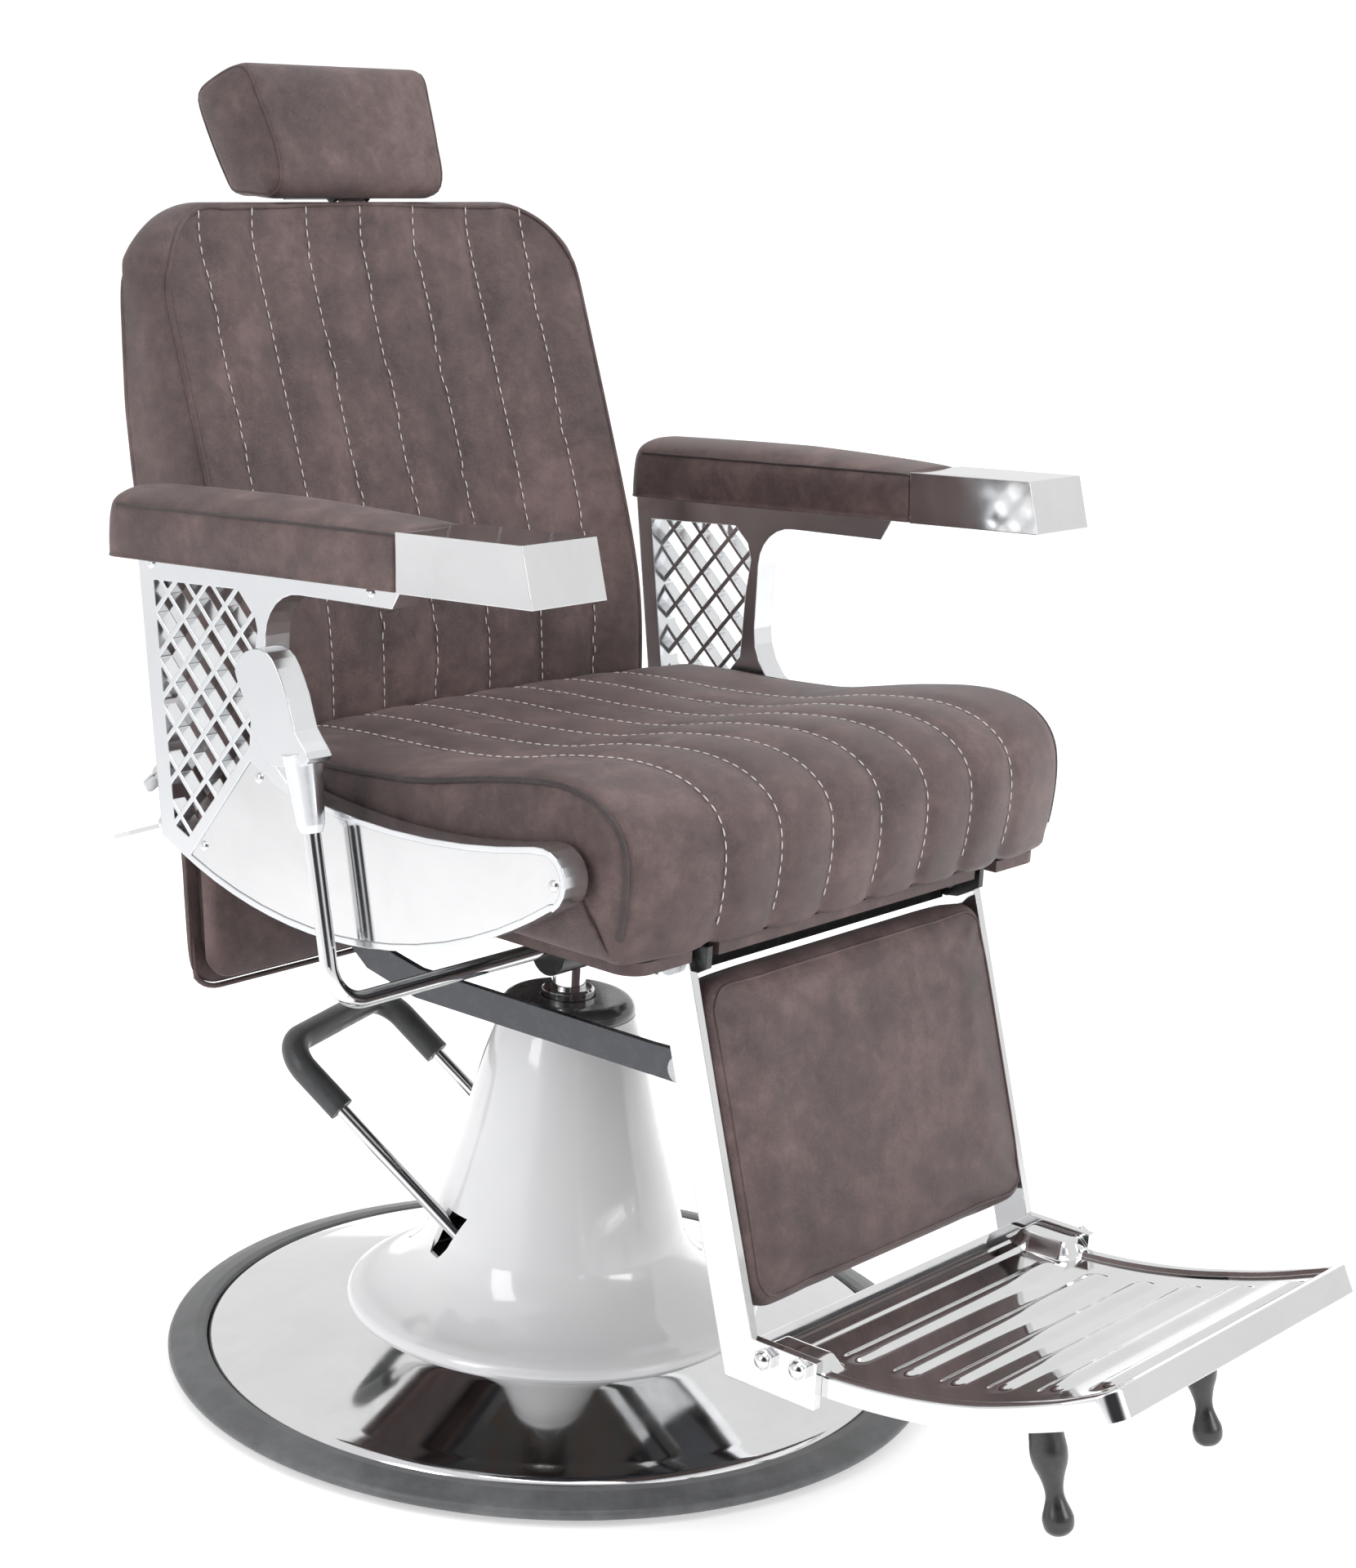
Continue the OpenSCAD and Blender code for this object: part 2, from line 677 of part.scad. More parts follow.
module side_plate() {
    color(chrome) difference() {
        slab(frame_x1 - wall + 0.05, wall - 1) polygon(plate_line(0.2));
        for (c = plate_screw_spots) pin(c, 2.2, frame_x1 - 9, frame_x1 + 1);
    }
}
module side_plate_right() { at_seat() on_side(-1) side_plate(); }
module side_plate_left() { at_seat() on_side(1) side_plate(); }

module side_plate_screws() {
    color(chrome) at_seat() for (side = [-1, 1]) on_side(side) for (c = plate_screw_spots)
        side_screw(c, frame_x1 - 0.95, 4.6, 7);
}

// Angle brackets with bolts that hold the side castings to the frame under the seat
module side_mounts() {
    x1 = frame_x0 - 6;
    y0 = mount_spots[0].x - 20;
    depth = mount_spots[1].x - mount_spots[0].x + 40;
    color(steel) at_seat() for (side = [-1, 1]) on_side(side) {
        translate([rail_x + rail_w / 2, y0, rail_z1 - 10]) cube([frame_x0 - rail_x - rail_w / 2, depth, 10]);
        translate([x1, y0, rail_z1 - 10]) cube([6, depth, mount_spots[0].y + 14 - rail_z1 + 10]);
        for (c = mount_spots) {
            pin(c, 5, x1, frame_x1 - 11);
            pin(c, 8.5, x1 - 2, x1 + 1);
        }
    }
}

// Things on the arm: v runs forward along its top edge, from the rear end of the pad
module at_arm(side) {
    at_seat() on_side(side) translate([arm_x, arm_rear_y, arm_z]) rotate([-arm_rise, 0, 0]) children();
}

// Section of the arm pad, as [x, z] from the middle of its underside
module arm_pad(side) {
    half = arm_w / 2;
    loop = [[-half + 3, 0], [0, 0], [half - 3, 0], [half, 4], [half + 1, arm_h * 0.45], [half, arm_h - 5],
        [half - 5, arm_h], [half * 0.5, arm_h + 4], [0, arm_h + 5], [-half * 0.5, arm_h + 4],
        [5 - half, arm_h], [-half, arm_h - 5], [-half - 1, arm_h * 0.45], [-half, 4]];
    pad_l = arm_l - cap_l - gap;
    places = [pad_l, pad_l - 26, 260, 200, 140, 80, 30, 10, 3, 0];
    nose = half - cap_wall - gap;
    color(leather) at_arm(side) union() {
        skin([for (v = places) let (
            k = 1 - edge_in(v, 10) / half, rest = min(1, max(0, pad_l - v) / 60))
            [for (p = loop) [p.x * k, -v - (p.y - arm_h) * 0.12 * max(0, 1 - v / 30),
                p.y * (0.5 + k / 2) - max(0, p.y - arm_h) * (1 - rest)]]]);
        translate([-nose, -pad_l - 30, cap_wall + gap]) cube([2 * nose, 31, arm_h - 2 * cap_wall - 2 * gap]);
    }
}
module arm_pad_right() { arm_pad(-1); }
module arm_pad_left() { arm_pad(1); }

// Polished box that closes the front of the arm
module arm_cap(side) {
    half = arm_w / 2;
    color(chrome) at_arm(side) difference() {
        slab(-half, arm_w) polygon([[cap_l - arm_l, 0], [-arm_l - 6, 0], [4 - arm_l, arm_h],
            [cap_l - arm_l, arm_h]]);
        slab(cap_wall - half, arm_w - 2 * cap_wall) polygon([[cap_l - arm_l + 1, cap_wall],
            [-arm_l - 4, cap_wall], [6 - arm_l, arm_h - cap_wall], [cap_l - arm_l + 1, arm_h - cap_wall]]);
    }
}
module arm_cap_right() { arm_cap(-1); }
module arm_cap_left() { arm_cap(1); }

module arm_screws() {
    color(steel) at_seat() for (side = [-1, 1]) on_side(side) for (c = rail_screw_spots)
        side_screw(c, frame_x1 + 0.05, 4.6, 12);
}

// ---------- recline lever ----------

module lever_block() {
    color(black) at_seat() difference() {
        union() {
            pin(lever_axis - [0, 6], 18, lever_x0 - 32, lever_x0 + 6);
            translate([lever_x0 - 28, lever_axis.x - 12, lever_axis.y + 6])
                cube([30, 24, rail_z0 - 8 - lever_axis.y - 6]);
        }
        pin(lever_axis, lever_r + fit, lever_x0 - 36, lever_x0 + 2);
    }
}

module lever_rod() {
    color(chrome) at_seat() translate([0, lever_axis.x, lever_axis.y]) rotate([-lever_lean, 0, 0]) {
        translate([lever_x1 + lever_bend, 0, 0]) rotate([0, 90, 0])
            cylinder(r = lever_r, h = lever_x0 - lever_x1 - lever_bend, $fn = 32);
        translate([lever_x1 + lever_bend, 0, lever_bend]) rotate([90, 0, 0]) rotate([0, 0, 180])
            rotate_extrude(angle = 90) translate([lever_bend, 0]) circle(lever_r, $fn = 32);
        translate([lever_x1, 0, lever_bend]) cylinder(r = lever_r, h = lever_up, $fn = 32);
    }
}

// Cast hand lever: a barrel over the rod and a broad arm above it that turns to the rear
module lever_grip() {
    sleeve_z = 136;
    sleeve_h = 62;
    hand = [[-16, 190], [-18, 199], [-8, 216], [-4, 242], [3, 264], [12, 277], [28, 281], [43, 276],
        [51, 265], [45, 244], [35, 212], [24, 190]];
    color(white) at_seat() translate([lever_x1, lever_axis.x, lever_axis.y]) rotate([-lever_lean, 0, 0])
        difference() {
            union() {
                translate([0, 0, sleeve_z + 6]) cylinder(r1 = 11, r2 = 16, h = sleeve_h - 6);
                translate([0, 0, sleeve_z]) cylinder(r1 = 8.5, r2 = 11, h = 6);
                slab(-12, 24) polygon(closed_curve(hand, 2));
            }
            cylinder(r = lever_r + fit, h = lever_bend + lever_up + 1);
        }
}

// ---------- recline lock ----------

module recline_cylinder() {
    color(black) at_seat() difference() {
        union() {
            translate([lock_x, lock_front, lock_axis]) rotate([-90, 0, 0]) cylinder(r = 13, h = 128);
            translate([lock_x - 8, lock_front - 14, lock_axis - 8]) cube([16, 15, rail_z1 - 20 - lock_axis + 8]);
            translate([rail_x, lock_front - 14, rail_z0 - 16]) cube([lock_x - rail_x + 8, 14, 16]);
        }
        translate([lock_x, lock_front + 8, lock_axis]) rotate([-90, 0, 0]) cylinder(r = 6 + fit, h = 140);
    }
}

module recline_rod() {
    color(chrome) at_seat() difference() {
        union() {
            translate([lock_x, lock_front + 62, lock_axis]) rotate([-90, 0, 0])
                cylinder(r = 6, h = lock_eye.x - lock_front - 62 - 10);
            pin([lock_eye.x, lock_axis], 12, lock_x - 5, lock_x + 5);
        }
        pin([lock_eye.x, lock_axis], 8.2, lock_x - 6, lock_x + 6);
    }
}

// ---------- backrest ----------

// Front face of the cushion at the height z from the seat's underside, at x
function back_front(x, z) = back_front_y + tan(back_lean) * ramp(z - knee_z, 60)
    - back_wrap * pow(x / (back_w / 2), 2);

// Rear face of the board at the height z
function board_rear(z) = lookup(z, [for (p = board_line) [p.x, p.y]]);

module back_pivot_pins() {
    color(steel) at_seat() for (side = [-1, 1]) on_side(side) {
        pin(back_pivot, pin_r - 0.05, bracket_x - 14, bracket_x + bracket_t + 2);
        pin(back_pivot, 10, bracket_x + bracket_t + 1, bracket_x + bracket_t + 6);
    }
}

module back_brackets() {
    top = [board_rear(-10) - 16, -10];
    foot = [board_rear(-84) - 14.2, -84];
    color(steel) at_seat() for (side = [-1, 1]) on_side(side) {
        difference() {
            slab(bracket_x, bracket_t) union() {
                translate(back_pivot) circle(lug_r);
                translate(link_rear) circle(14);
                polygon([back_pivot + [0, lug_r], top, foot, link_rear + [0, -14],
                    link_rear + [-14, 0], back_pivot + [-lug_r, 0]]);
            }
            pin(back_pivot, pin_r + fit, bracket_x - 1, bracket_x + bracket_t + 1);
        }
        translate([bracket_x, foot.x + 0.05, foot.y]) rotate([-6.5, 0, 0]) cube([24, 4, 78]);
        if (side < 0) pin(link_rear, 5, link_x - 1, bracket_x + 1);
        else pin(lock_eye, 5, lock_x - 8, bracket_x + 1);
    }
}

module board_profile(front, rear) {
    polygon(concat([for (p = board_line) [p.y - front, p.x]],
        [for (i = [len(board_line) - 1:-1:0]) [board_line[i].y - rear, board_line[i].x]]));
}

module back_face(inset) {
    half = back_w / 2 - inset;
    top = back_top - inset;
    translate([0, 340, 0]) rotate([90, 0, 0]) linear_extrude(200) union() {
        round_rect(-half, -142 + inset, half, 200, 30);
        round_rect(-half, 60, half, top, corner_r - inset);
    }
}

module back_board() {
    color(wood) at_seat() difference() {
        intersection() {
            slab(-back_w / 2, back_w) board_profile(0, 10);
            back_face(12);
        }
        translate([-socket_w / 2 - gap, 200, 339]) cube([socket_w + 2 * gap, 200, 200]);
    }
}

// Height of the backrest's outline at x: round top corners
function back_outline(x, half, r) = abs(x) <= half - r ? 0 :
    r - sqrt(max(0, r * r - pow(abs(x) - half + r, 2)));

module back_cushion() {
    half = back_w / 2;
    foot = 58;
    edge = 12;
    front = [for (i = [0:12]) foot + 8 + (back_top - foot - 26) * i / 12];
    color(leather) at_seat() skin([for (x = stations(back_pitch, half, edge)) let (
        e = edge_in(half - abs(x), edge), g = groove(x, back_pitch), drop = back_outline(x, half + 10, corner_r),
        k = (back_top - foot - drop) / (back_top - foot))
        concat(
            [for (z = front) let (zz = foot + (z - foot) * k) [x, back_front(x, zz) + e + g, zz]],
            [for (u = [0:3]) let (zt = foot + (back_top - foot) * k - [9, 3, 0, 2][u],
                y0 = back_front(x, zt) + e, y1 = board_rear(zt) - 10 - gap, w = [0.08, 0.28, 0.6, 1][u])
                [x, y0 + (y1 - y0) * w, zt]],
            [for (i = [9:-1:0]) let (z = foot + (back_top - foot) * k * (i + 0.2) / 10 - 0.2)
                [x, board_rear(z) - 10 - gap, z]],
            [[x, (back_front(x, foot) + board_rear(foot)) / 2, foot - 2],
            [x, back_front(x, foot) + 16 + e, foot]])]);
}

// Padded panel that covers the board from behind, fuller in the middle
module back_cover() {
    half = back_w / 2;
    rows = 12;
    foot = -146;
    crown = 18;
    rim = 5;
    backing = 1.5; // from the board's rear face to the panel's front
    color(leather) at_seat() skin([for (i = [-8:8]) let (x = half * sin(i * 90 / 8),
        drop = back_outline(x, half + 4, corner_r), lift = back_outline(x, half + 4, 34),
        z0 = foot + lift, z1 = back_top - 2 - drop, full = rim + crown * (1 - pow(x / half, 4)))
        concat(
            [for (j = [0:rows]) let (z = z0 + (z1 - z0) * j / rows) [x, board_rear(z) + backing, z]],
            [for (j = [rows:-1:0]) let (t = j / rows, z = z0 + (z1 - z0) * t)
                [x, board_rear(z) + backing + 1 + full * sqrt(max(0, 1 - pow(2 * t - 1, 6))), z]])]);
}

// Thin pad on the front of the board, below the seat
module back_skirt() {
    half = back_w / 2 - 6;
    color(leather) at_seat() difference() {
        intersection() {
            slab(-half, 2 * half) board_profile(10.3, 22);
            translate([0, 340, 0]) rotate([90, 0, 0]) linear_extrude(200)
                round_rect(-half, -138, half, 52, 30);
        }
        for (side = [-1, 1]) on_side(side) translate([bracket_x - 3, 150, -88]) cube([30, 100, 88]);
    }
}

// A flat lobe of a wing screw, standing in the plane across its shank
module lobe(x0, x1, r, t) {
    hull() for (x = [x0, x1]) translate([x, 0, 0]) rotate([-90, 0, 0]) cylinder(r = r, h = t, $fn = 24);
}

// Wing screw in the rear edge of the side casting
module back_wing_screw() {
    color(chrome) at_seat() on_side(-1) translate([clamp_x, wing_spot.x, wing_spot.y]) {
        translate([0, -12, 0]) rotate([-90, 0, 0]) cylinder(r = 3.5, h = 20);
        translate([0, 5, 0]) rotate([-90, 0, 0]) cylinder(r = 7, h = 9);
        rotate([0, 30, 0]) for (side = [-1, 1]) translate([0, 8, 0]) lobe(side * 6, side * 15, 6, 3);
    }
}

// Flat oval thumb lever behind the side casting
module back_lock_paddle() {
    color(chrome) at_seat() on_side(-1) translate([clamp_x, paddle_spot.x, paddle_spot.y]) {
        translate([0, -14, 0]) rotate([-90, 0, 0]) cylinder(r = 3.5, h = 24);
        translate([0, 3, 0]) rotate([-90, 0, 0]) cylinder(r = 6, h = 12);
        translate([0, 8, 0]) rotate([-21, 0, 0]) hull() {
            translate([0, 10, -2]) cylinder(r = 6, h = 4, $fn = 24);
            translate([0, 40, -2]) cylinder(r = 10, h = 4, $fn = 32);
            translate([0, 66, -2]) cylinder(r = 6, h = 4, $fn = 24);
        }
    }
}

// ---------- headrest ----------

// Things along the headrest's stem, which slides behind the backrest's cushion
module at_stem() {
    at_seat() translate([0, stem_foot.x, stem_foot.y]) rotate([-stem_lean, 0, 0]) children();
}

module headrest_socket() {
    color(steel) at_stem() difference() {
        translate([-socket_w / 2, -4.9, 4]) cube([socket_w, 9.8, 160]);
        translate([-stem_w / 2 - fit, -stem_t / 2 - fit, 0]) cube([stem_w + 2 * fit, stem_t + 2 * fit, 200]);
    }
}

module headrest_stem() {
    color(chrome) difference() {
        union() {
            at_stem() translate([-stem_w / 2, -stem_t / 2, 6]) cube([stem_w, stem_t, 165.5]);
            at_seat() pin(head_pivot, 6, 1 - stem_w / 2, stem_w / 2 - 1);
        }
        at_seat() pin(head_pivot, 3 + fit, -stem_w, stem_w);
    }
}

// Things in the headrest's own lean, from its middle
module at_head() {
    at_seat() translate([0, head_mid.x, head_mid.y]) rotate([-head_lean, 0, 0]) children();
}

module headrest_bracket() {
    ear_x = stem_w / 2 + gap;
    local = [(head_pivot - head_mid) * [cos(head_lean), -sin(head_lean)],
        (head_pivot - head_mid) * [sin(head_lean), cos(head_lean)]];
    color(steel) {
        at_head() difference() {
            union() {
                translate([-45, -22, -head_h / 2 - 3]) cube([90, 48, 3]);
                for (side = [-1, 1]) on_side(side) {
                    pin(local, 6, ear_x, ear_x + 4);
                    translate([ear_x, local.x - 6, local.y]) cube([4, 12, -head_h / 2 - local.y]);
                }
            }
            pin(local, 3, -stem_w, stem_w);
        }
        at_seat() pin(head_pivot, 3, -ear_x - 6, ear_x + 6);
    }
}

module headrest_cushion() {
    a = head_t / 2;
    b = head_h / 2;
    edge = 10;
    half = head_w / 2;
    loop = concat(arc([a - 8, 8 - b], 8, 0, -90, 3), arc([9 - a, 10 - b], 10, -90, -180, 3),
        [[-a - 1.5, 30 - b], [-a, 10]], arc([12 - a, b - 12], 12, 175, 110, 3), [[0, b + 1]],
        arc([a - 9, b - 10], 10, 70, 5, 3), [[a + 2, 0]]);
    side = [for (k = edge_steps) half - k * edge];
    color(leather) at_head() skin([for (x = concat(-side, [-60, -20, 20, 60], [for (i = [4:-1:0]) side[i]]))
        let (k = 1 - edge_in(half - abs(x), edge) / b) [for (p = loop) [x, p.x * k, p.y * k]]]);
}

// ---------- leg rest ----------

// A point of the side bar's edge, off the middle line, at the height z
function leg_at(off, z) = [leg_pivot.x + off / cos(leg_lean) - (leg_pivot.y - z) * tan(leg_lean), z];

// Things in the leg rest's own lean, from its pivot
module at_leg() {
    at_seat() translate([0, leg_pivot.x, leg_pivot.y]) rotate([-leg_lean, 0, 0]) children();
}

module leg_pivot_bolts() {
    color(steel) at_seat() for (side = [-1, 1]) on_side(side) {
        pin(leg_pivot, pin_r - 0.05, leg_x1 - leg_bar_t - 12, leg_x1 + 1);
        pin(leg_pivot, 9, leg_x1 + gap, leg_x1 + 6);
    }
}

module leg_bar() {
    half = leg_bar_w / 2;
    color(chrome) at_seat() difference() {
        slab(leg_x1 - leg_bar_t, leg_bar_t) polygon(concat(
            arc(leg_pivot, half, 180 - leg_lean, -leg_lean, 16),
            [leg_at(half, heel_z), [toe_y, heel_z], [toe_y, heel_z + foot_h], leg_at(-half, heel_z + foot_h)]));
        pin(leg_pivot, pin_r + fit, leg_x1 - 20, leg_x1 + 1);
        for (c = foot_bolt_spots) pin(c, 4.1, leg_x1 - 20, leg_x1 + 1);
    }
}
module leg_bar_right() { on_side(-1) leg_bar(); }
module leg_bar_left() { on_side(1) leg_bar(); }

module leg_pad_board() {
    half = leg_x1 - leg_bar_t;
    color(wood) at_leg() translate([-half, pad_rear, pad_foot + 8]) cube([2 * half, 10, pad_top - pad_foot - 14]);
}

// Leg pad: crowned in front, with round corners
module leg_pad() {
    half = leg_x1 - leg_bar_t - gap;
    edge = 12;
    corner = 24;
    mid = (pad_top + pad_foot) / 2;
    round_r = 9;
    loop = concat([[pad_rear, pad_foot]],
        arc([pad_front + round_r, pad_foot + round_r], round_r, -90, -180, 3),
        [[pad_front - 2, pad_foot + 60], [pad_front - 3, mid], [pad_front - 2, pad_top - 60]],
        arc([pad_front + round_r, pad_top - round_r], round_r, 180, 90, 3),
        [[pad_rear, pad_top]]);
    n = normals(loop);
    side = [for (k = edge_steps) half - k * edge];
    middle = [for (k = [-3:3]) k * (half - edge) / 4];
    color(leather) at_leg() skin([for (x = concat(-side, middle, [for (i = [4:-1:0]) side[i]])) let (
        e = edge_in(half - abs(x), edge) * 0.8,
        k = 1 - 2 * back_outline(x, half + 1, corner) / (pad_top - pad_foot))
        [for (j = [0:len(loop) - 1]) let (p = loop[j] - n[j] * e) [x, p.x, mid + (p.y - mid) * k]]]);
}

// Plan of the footplate, narrower at the toe
module plate_plan(d) {
    heel_w = plate_heel_w / 2 - d;
    toe_w = plate_toe_w / 2 - d;
    y1 = plate_rear_y - d;
    y0 = plate_rear_y - plate_l + d;
    polygon([[-heel_w, y1], [-toe_w, y0 + 8], [8 - toe_w, y0], [toe_w - 8, y0], [toe_w, y0 + 8], [heel_w, y1]]);
}

// Side view of the footplate between two depths under its tread, as [y, z]
module plate_side(d0, d1) {
    c = sweep_start + [0, plate_sweep];
    span = asin((sweep_start.x - plate_rear_y + plate_l) / plate_sweep) + 2;
    polygon(concat([[plate_rear_y + 1, c.y - plate_sweep - d0]],
        arc(c, plate_sweep + d0, -90, -90 - span, 24),
        arc(c, plate_sweep + d1, -90 - span, -90, 24),
        [[plate_rear_y + 1, c.y - plate_sweep - d1]]));
}

module footplate() {
    half = plate_heel_w / 2 + 10;
    c = sweep_start + [0, plate_sweep];
    color(chrome) at_seat() difference() {
        union() {
            intersection() {
                slab(-half, 2 * half) plate_side(0, plate_rim);
                translate([0, 0, -400]) linear_extrude(500) difference() {
                    plate_plan(0);
                    plate_plan(7);
                }
            }
            intersection() {
                slab(-half, 2 * half) plate_side(1, plate_t);
                translate([0, 0, -400]) linear_extrude(500) plate_plan(1);
            }
            intersection() {
                union() for (i = [0:plate_ribs - 1]) let (a = -90 - (i + 0.6) * 24 / plate_ribs)
                    pin(c + (plate_sweep + rib_r - rib_h) * [cos(a), sin(a)], rib_r, -half + 34, half - 34);
                translate([0, 0, -400]) linear_extrude(500) plate_plan(18);
                slab(-half, 2 * half) plate_side(-2 * rib_h, plate_t - 0.5);
            }
            for (side = [-1, 1]) on_side(side)
                slab(plate_heel_w / 2 - 14, leg_x1 - leg_bar_t - plate_heel_w / 2 + 14)
                    hull() for (c = foot_bolt_spots) translate(c) circle(8);
        }
        for (side = [-1, 1], c = foot_bolt_spots) on_side(side) pin(c, 4, plate_heel_w / 2 - 10, leg_x1);
    }
}

module footplate_bolts() {
    color(steel) at_seat() for (side = [-1, 1], c = foot_bolt_spots) on_side(side) {
        pin(c, 3.95, plate_heel_w / 2 - 9, leg_x1 + 1);
        translate([leg_x1, c.x, c.y]) rotate([0, 90, 0]) cylinder(r = 9, h = 5, $fn = 6);
        translate([leg_x1 + 5, c.x, c.y]) rotate([0, 90, 0]) rotate_extrude($fn = 32) polygon(concat(
            [[0, 0]], [for (a = [0:15:90]) [7 * cos(a), 6 * sin(a)]]));
    }
}

// Turned feet under the toe of the footplate
module foot_spindles() {
    c = sweep_start + [0, plate_sweep];
    top_z = c.y - sqrt(pow(plate_sweep + plate_t, 2) - pow(spindle_y - c.x, 2));
    color(black) at_seat() difference() {
        for (side = [-1, 1]) translate([side * spindle_x, spindle_y, top_z])
            rotate([180 - spindle_lean, 0, 0]) rotate_extrude() polygon(concat(
                [[0, -6], [16, -6], [17.5, 14], [16.5, 30], [12, 50], [9.5, 64], [9.5, 74]],
                arc([0, 103], 12.5, -40, 90, 8)));
        slab(-leg_x1, 2 * leg_x1) plate_side(-20, plate_t);
    }
}

// ---------- linkage ----------

module link_bar() {
    color(blue_grey) at_seat() on_side(-1) difference() {
        slab(link_x, link_t) polygon(concat(
            arc(link_front, 13.5, 270, 90, 12),
            [[-225, -103], [30, -104], [72, -96]],
            arc(link_rear, 14, 125, -50, 12),
            [[92, -118], [34, -130], [-228, -128.5]]));
        pin(link_front, 5 + fit, link_x - 1, link_x + link_t + 1);
        pin(link_rear, 7.2, link_x - 1, link_x + link_t + 1);
    }
}

// Lug with a pin on the back of the leg rest, for the front end of the link
module link_bracket() {
    x0 = link_x + link_t + gap;
    local = [(link_front - leg_pivot) * [cos(leg_lean), -sin(leg_lean)],
        (link_front - leg_pivot) * [sin(leg_lean), cos(leg_lean)]];
    color(steel) on_side(-1) {
        at_leg() {
            slab(x0, 6) union() {
                translate(local) circle(11);
                translate([pad_rear + 12, local.y - 11]) square([local.x - pad_rear - 12, 22]);
            }
            translate([x0, pad_rear + 10, local.y - 20]) cube([20, 3, 40]);
        }
        at_seat() pin(link_front, 5, link_x - 3, x0 + 1);
    }
}

base_weight();
base_rim();
base_cover();
column_shroud();
shroud_collar();
pump_cylinder();
pump_bolts();
gland_nut();
pump_block();
pedal_spring();
pedal_shaft();
pedal_bar();
pedal_grip();
pump_plunger();
ram();
ram_piston();
seat_hub();
seat_subframe();
seat_board();
seat_cushion();
side_frame_right();
side_frame_left();
side_plate_right();
side_plate_left();
side_plate_screws();
side_mounts();
arm_pad_right();
arm_pad_left();
arm_cap_right();
arm_cap_left();
arm_screws();
lever_block();
lever_rod();
lever_grip();
recline_cylinder();
recline_rod();
back_pivot_pins();
back_brackets();
back_board();
back_cushion();
back_cover();
back_skirt();
headrest_socket();
back_wing_screw();
back_lock_paddle();
headrest_stem();
headrest_bracket();
headrest_cushion();
leg_pivot_bolts();
leg_bar_right();
leg_bar_left();
leg_pad_board();
leg_pad();
footplate();
footplate_bolts();
foot_spindles();
link_bar();
link_bracket();
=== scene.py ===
import math

import bmesh
import bpy
import numpy as np
from mathutils import Matrix, Vector
from mathutils.bvhtree import BVHTree


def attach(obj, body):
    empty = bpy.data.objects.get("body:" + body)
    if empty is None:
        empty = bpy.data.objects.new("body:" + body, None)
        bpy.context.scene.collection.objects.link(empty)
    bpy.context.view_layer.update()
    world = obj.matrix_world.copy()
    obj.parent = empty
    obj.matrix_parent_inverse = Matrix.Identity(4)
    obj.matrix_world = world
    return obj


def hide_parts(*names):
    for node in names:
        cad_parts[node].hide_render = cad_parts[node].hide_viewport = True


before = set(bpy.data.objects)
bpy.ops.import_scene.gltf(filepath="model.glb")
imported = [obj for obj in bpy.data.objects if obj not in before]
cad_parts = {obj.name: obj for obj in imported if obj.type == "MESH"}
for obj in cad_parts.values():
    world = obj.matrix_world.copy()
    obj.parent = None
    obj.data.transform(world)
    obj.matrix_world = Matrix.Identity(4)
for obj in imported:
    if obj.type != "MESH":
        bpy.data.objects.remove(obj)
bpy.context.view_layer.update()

# ---------- camera and studio ----------
# A long lens stands in front of the sitter's right knee, about as high as the headrest's top.
# The chair is on a pale floor under a broad soft light, with one more at its right and one in front.

aim = Vector((-0.0193, -0.1265, 0.5525))
azimuth, elevation, roll = math.radians(-50.57), math.radians(13.64), math.radians(3.29)
distance = 2.5013
image_h = 1920
focal_px = 3704.19

back = Vector((math.sin(azimuth) * math.cos(elevation),
               -math.cos(azimuth) * math.cos(elevation),
               math.sin(elevation)))
level = (-back).cross(Vector((0, 0, 1))).normalized()
upright = level.cross(-back)
across = math.cos(roll) * level + math.sin(roll) * upright
above = math.cos(roll) * upright - math.sin(roll) * level
lens = bpy.data.cameras.new("camera")
lens.sensor_width = 36
lens.lens = focal_px / image_h * lens.sensor_width
camera = bpy.data.objects.new("camera", lens)
turned_to = Matrix((across, above, back)).transposed().to_4x4()
camera.matrix_world = Matrix.Translation(aim + distance * back) @ turned_to
bpy.context.collection.objects.link(camera)
bpy.context.scene.camera = camera

bpy.context.scene.view_settings.view_transform = "Standard"

# The air is nearly white. One dark patch on the camera's side gives the chrome its dark streaks, and
# the camera itself sees a white wall.
dark_patch = (-0.66, -0.66, 0.36)
wall_white, air_white, air_dark = (1.2, 1.2, 1.2, 1), (0.98, 0.98, 0.98, 1), (0.05, 0.05, 0.06, 1)
world = bpy.data.worlds.new("studio")
world.use_nodes = True
bpy.context.scene.world = world
air = world.node_tree
sky = air.nodes.new("ShaderNodeTexCoord")
facing = air.nodes.new("ShaderNodeVectorMath")
facing.operation = "DOT_PRODUCT"
facing.inputs[1].default_value = dark_patch
band = air.nodes.new("ShaderNodeValToRGB")
seen = air.nodes.new("ShaderNodeLightPath")
wall = air.nodes.new("ShaderNodeMix")
wall.data_type = "RGBA"
wall.inputs[7].default_value = wall_white
air.links.new(sky.outputs["Generated"], facing.inputs[0])
air.links.new(facing.outputs["Value"], band.inputs[0])
air.links.new(band.outputs[0], wall.inputs[6])
air.links.new(seen.outputs["Is Camera Ray"], wall.inputs[0])
air.links.new(wall.outputs[2], air.nodes["Background"].inputs["Color"])
band.color_ramp.elements[0].color = air_white
band.color_ramp.elements[1].color = air_dark
for where, tone in ((0.76, 0.94), (0.88, 0.12), (0.94, 0.05)):
    band.color_ramp.elements.new(where).color = (tone, tone, tone * 1.05, 1)
air.nodes["Background"].inputs["Strength"].default_value = 0.92

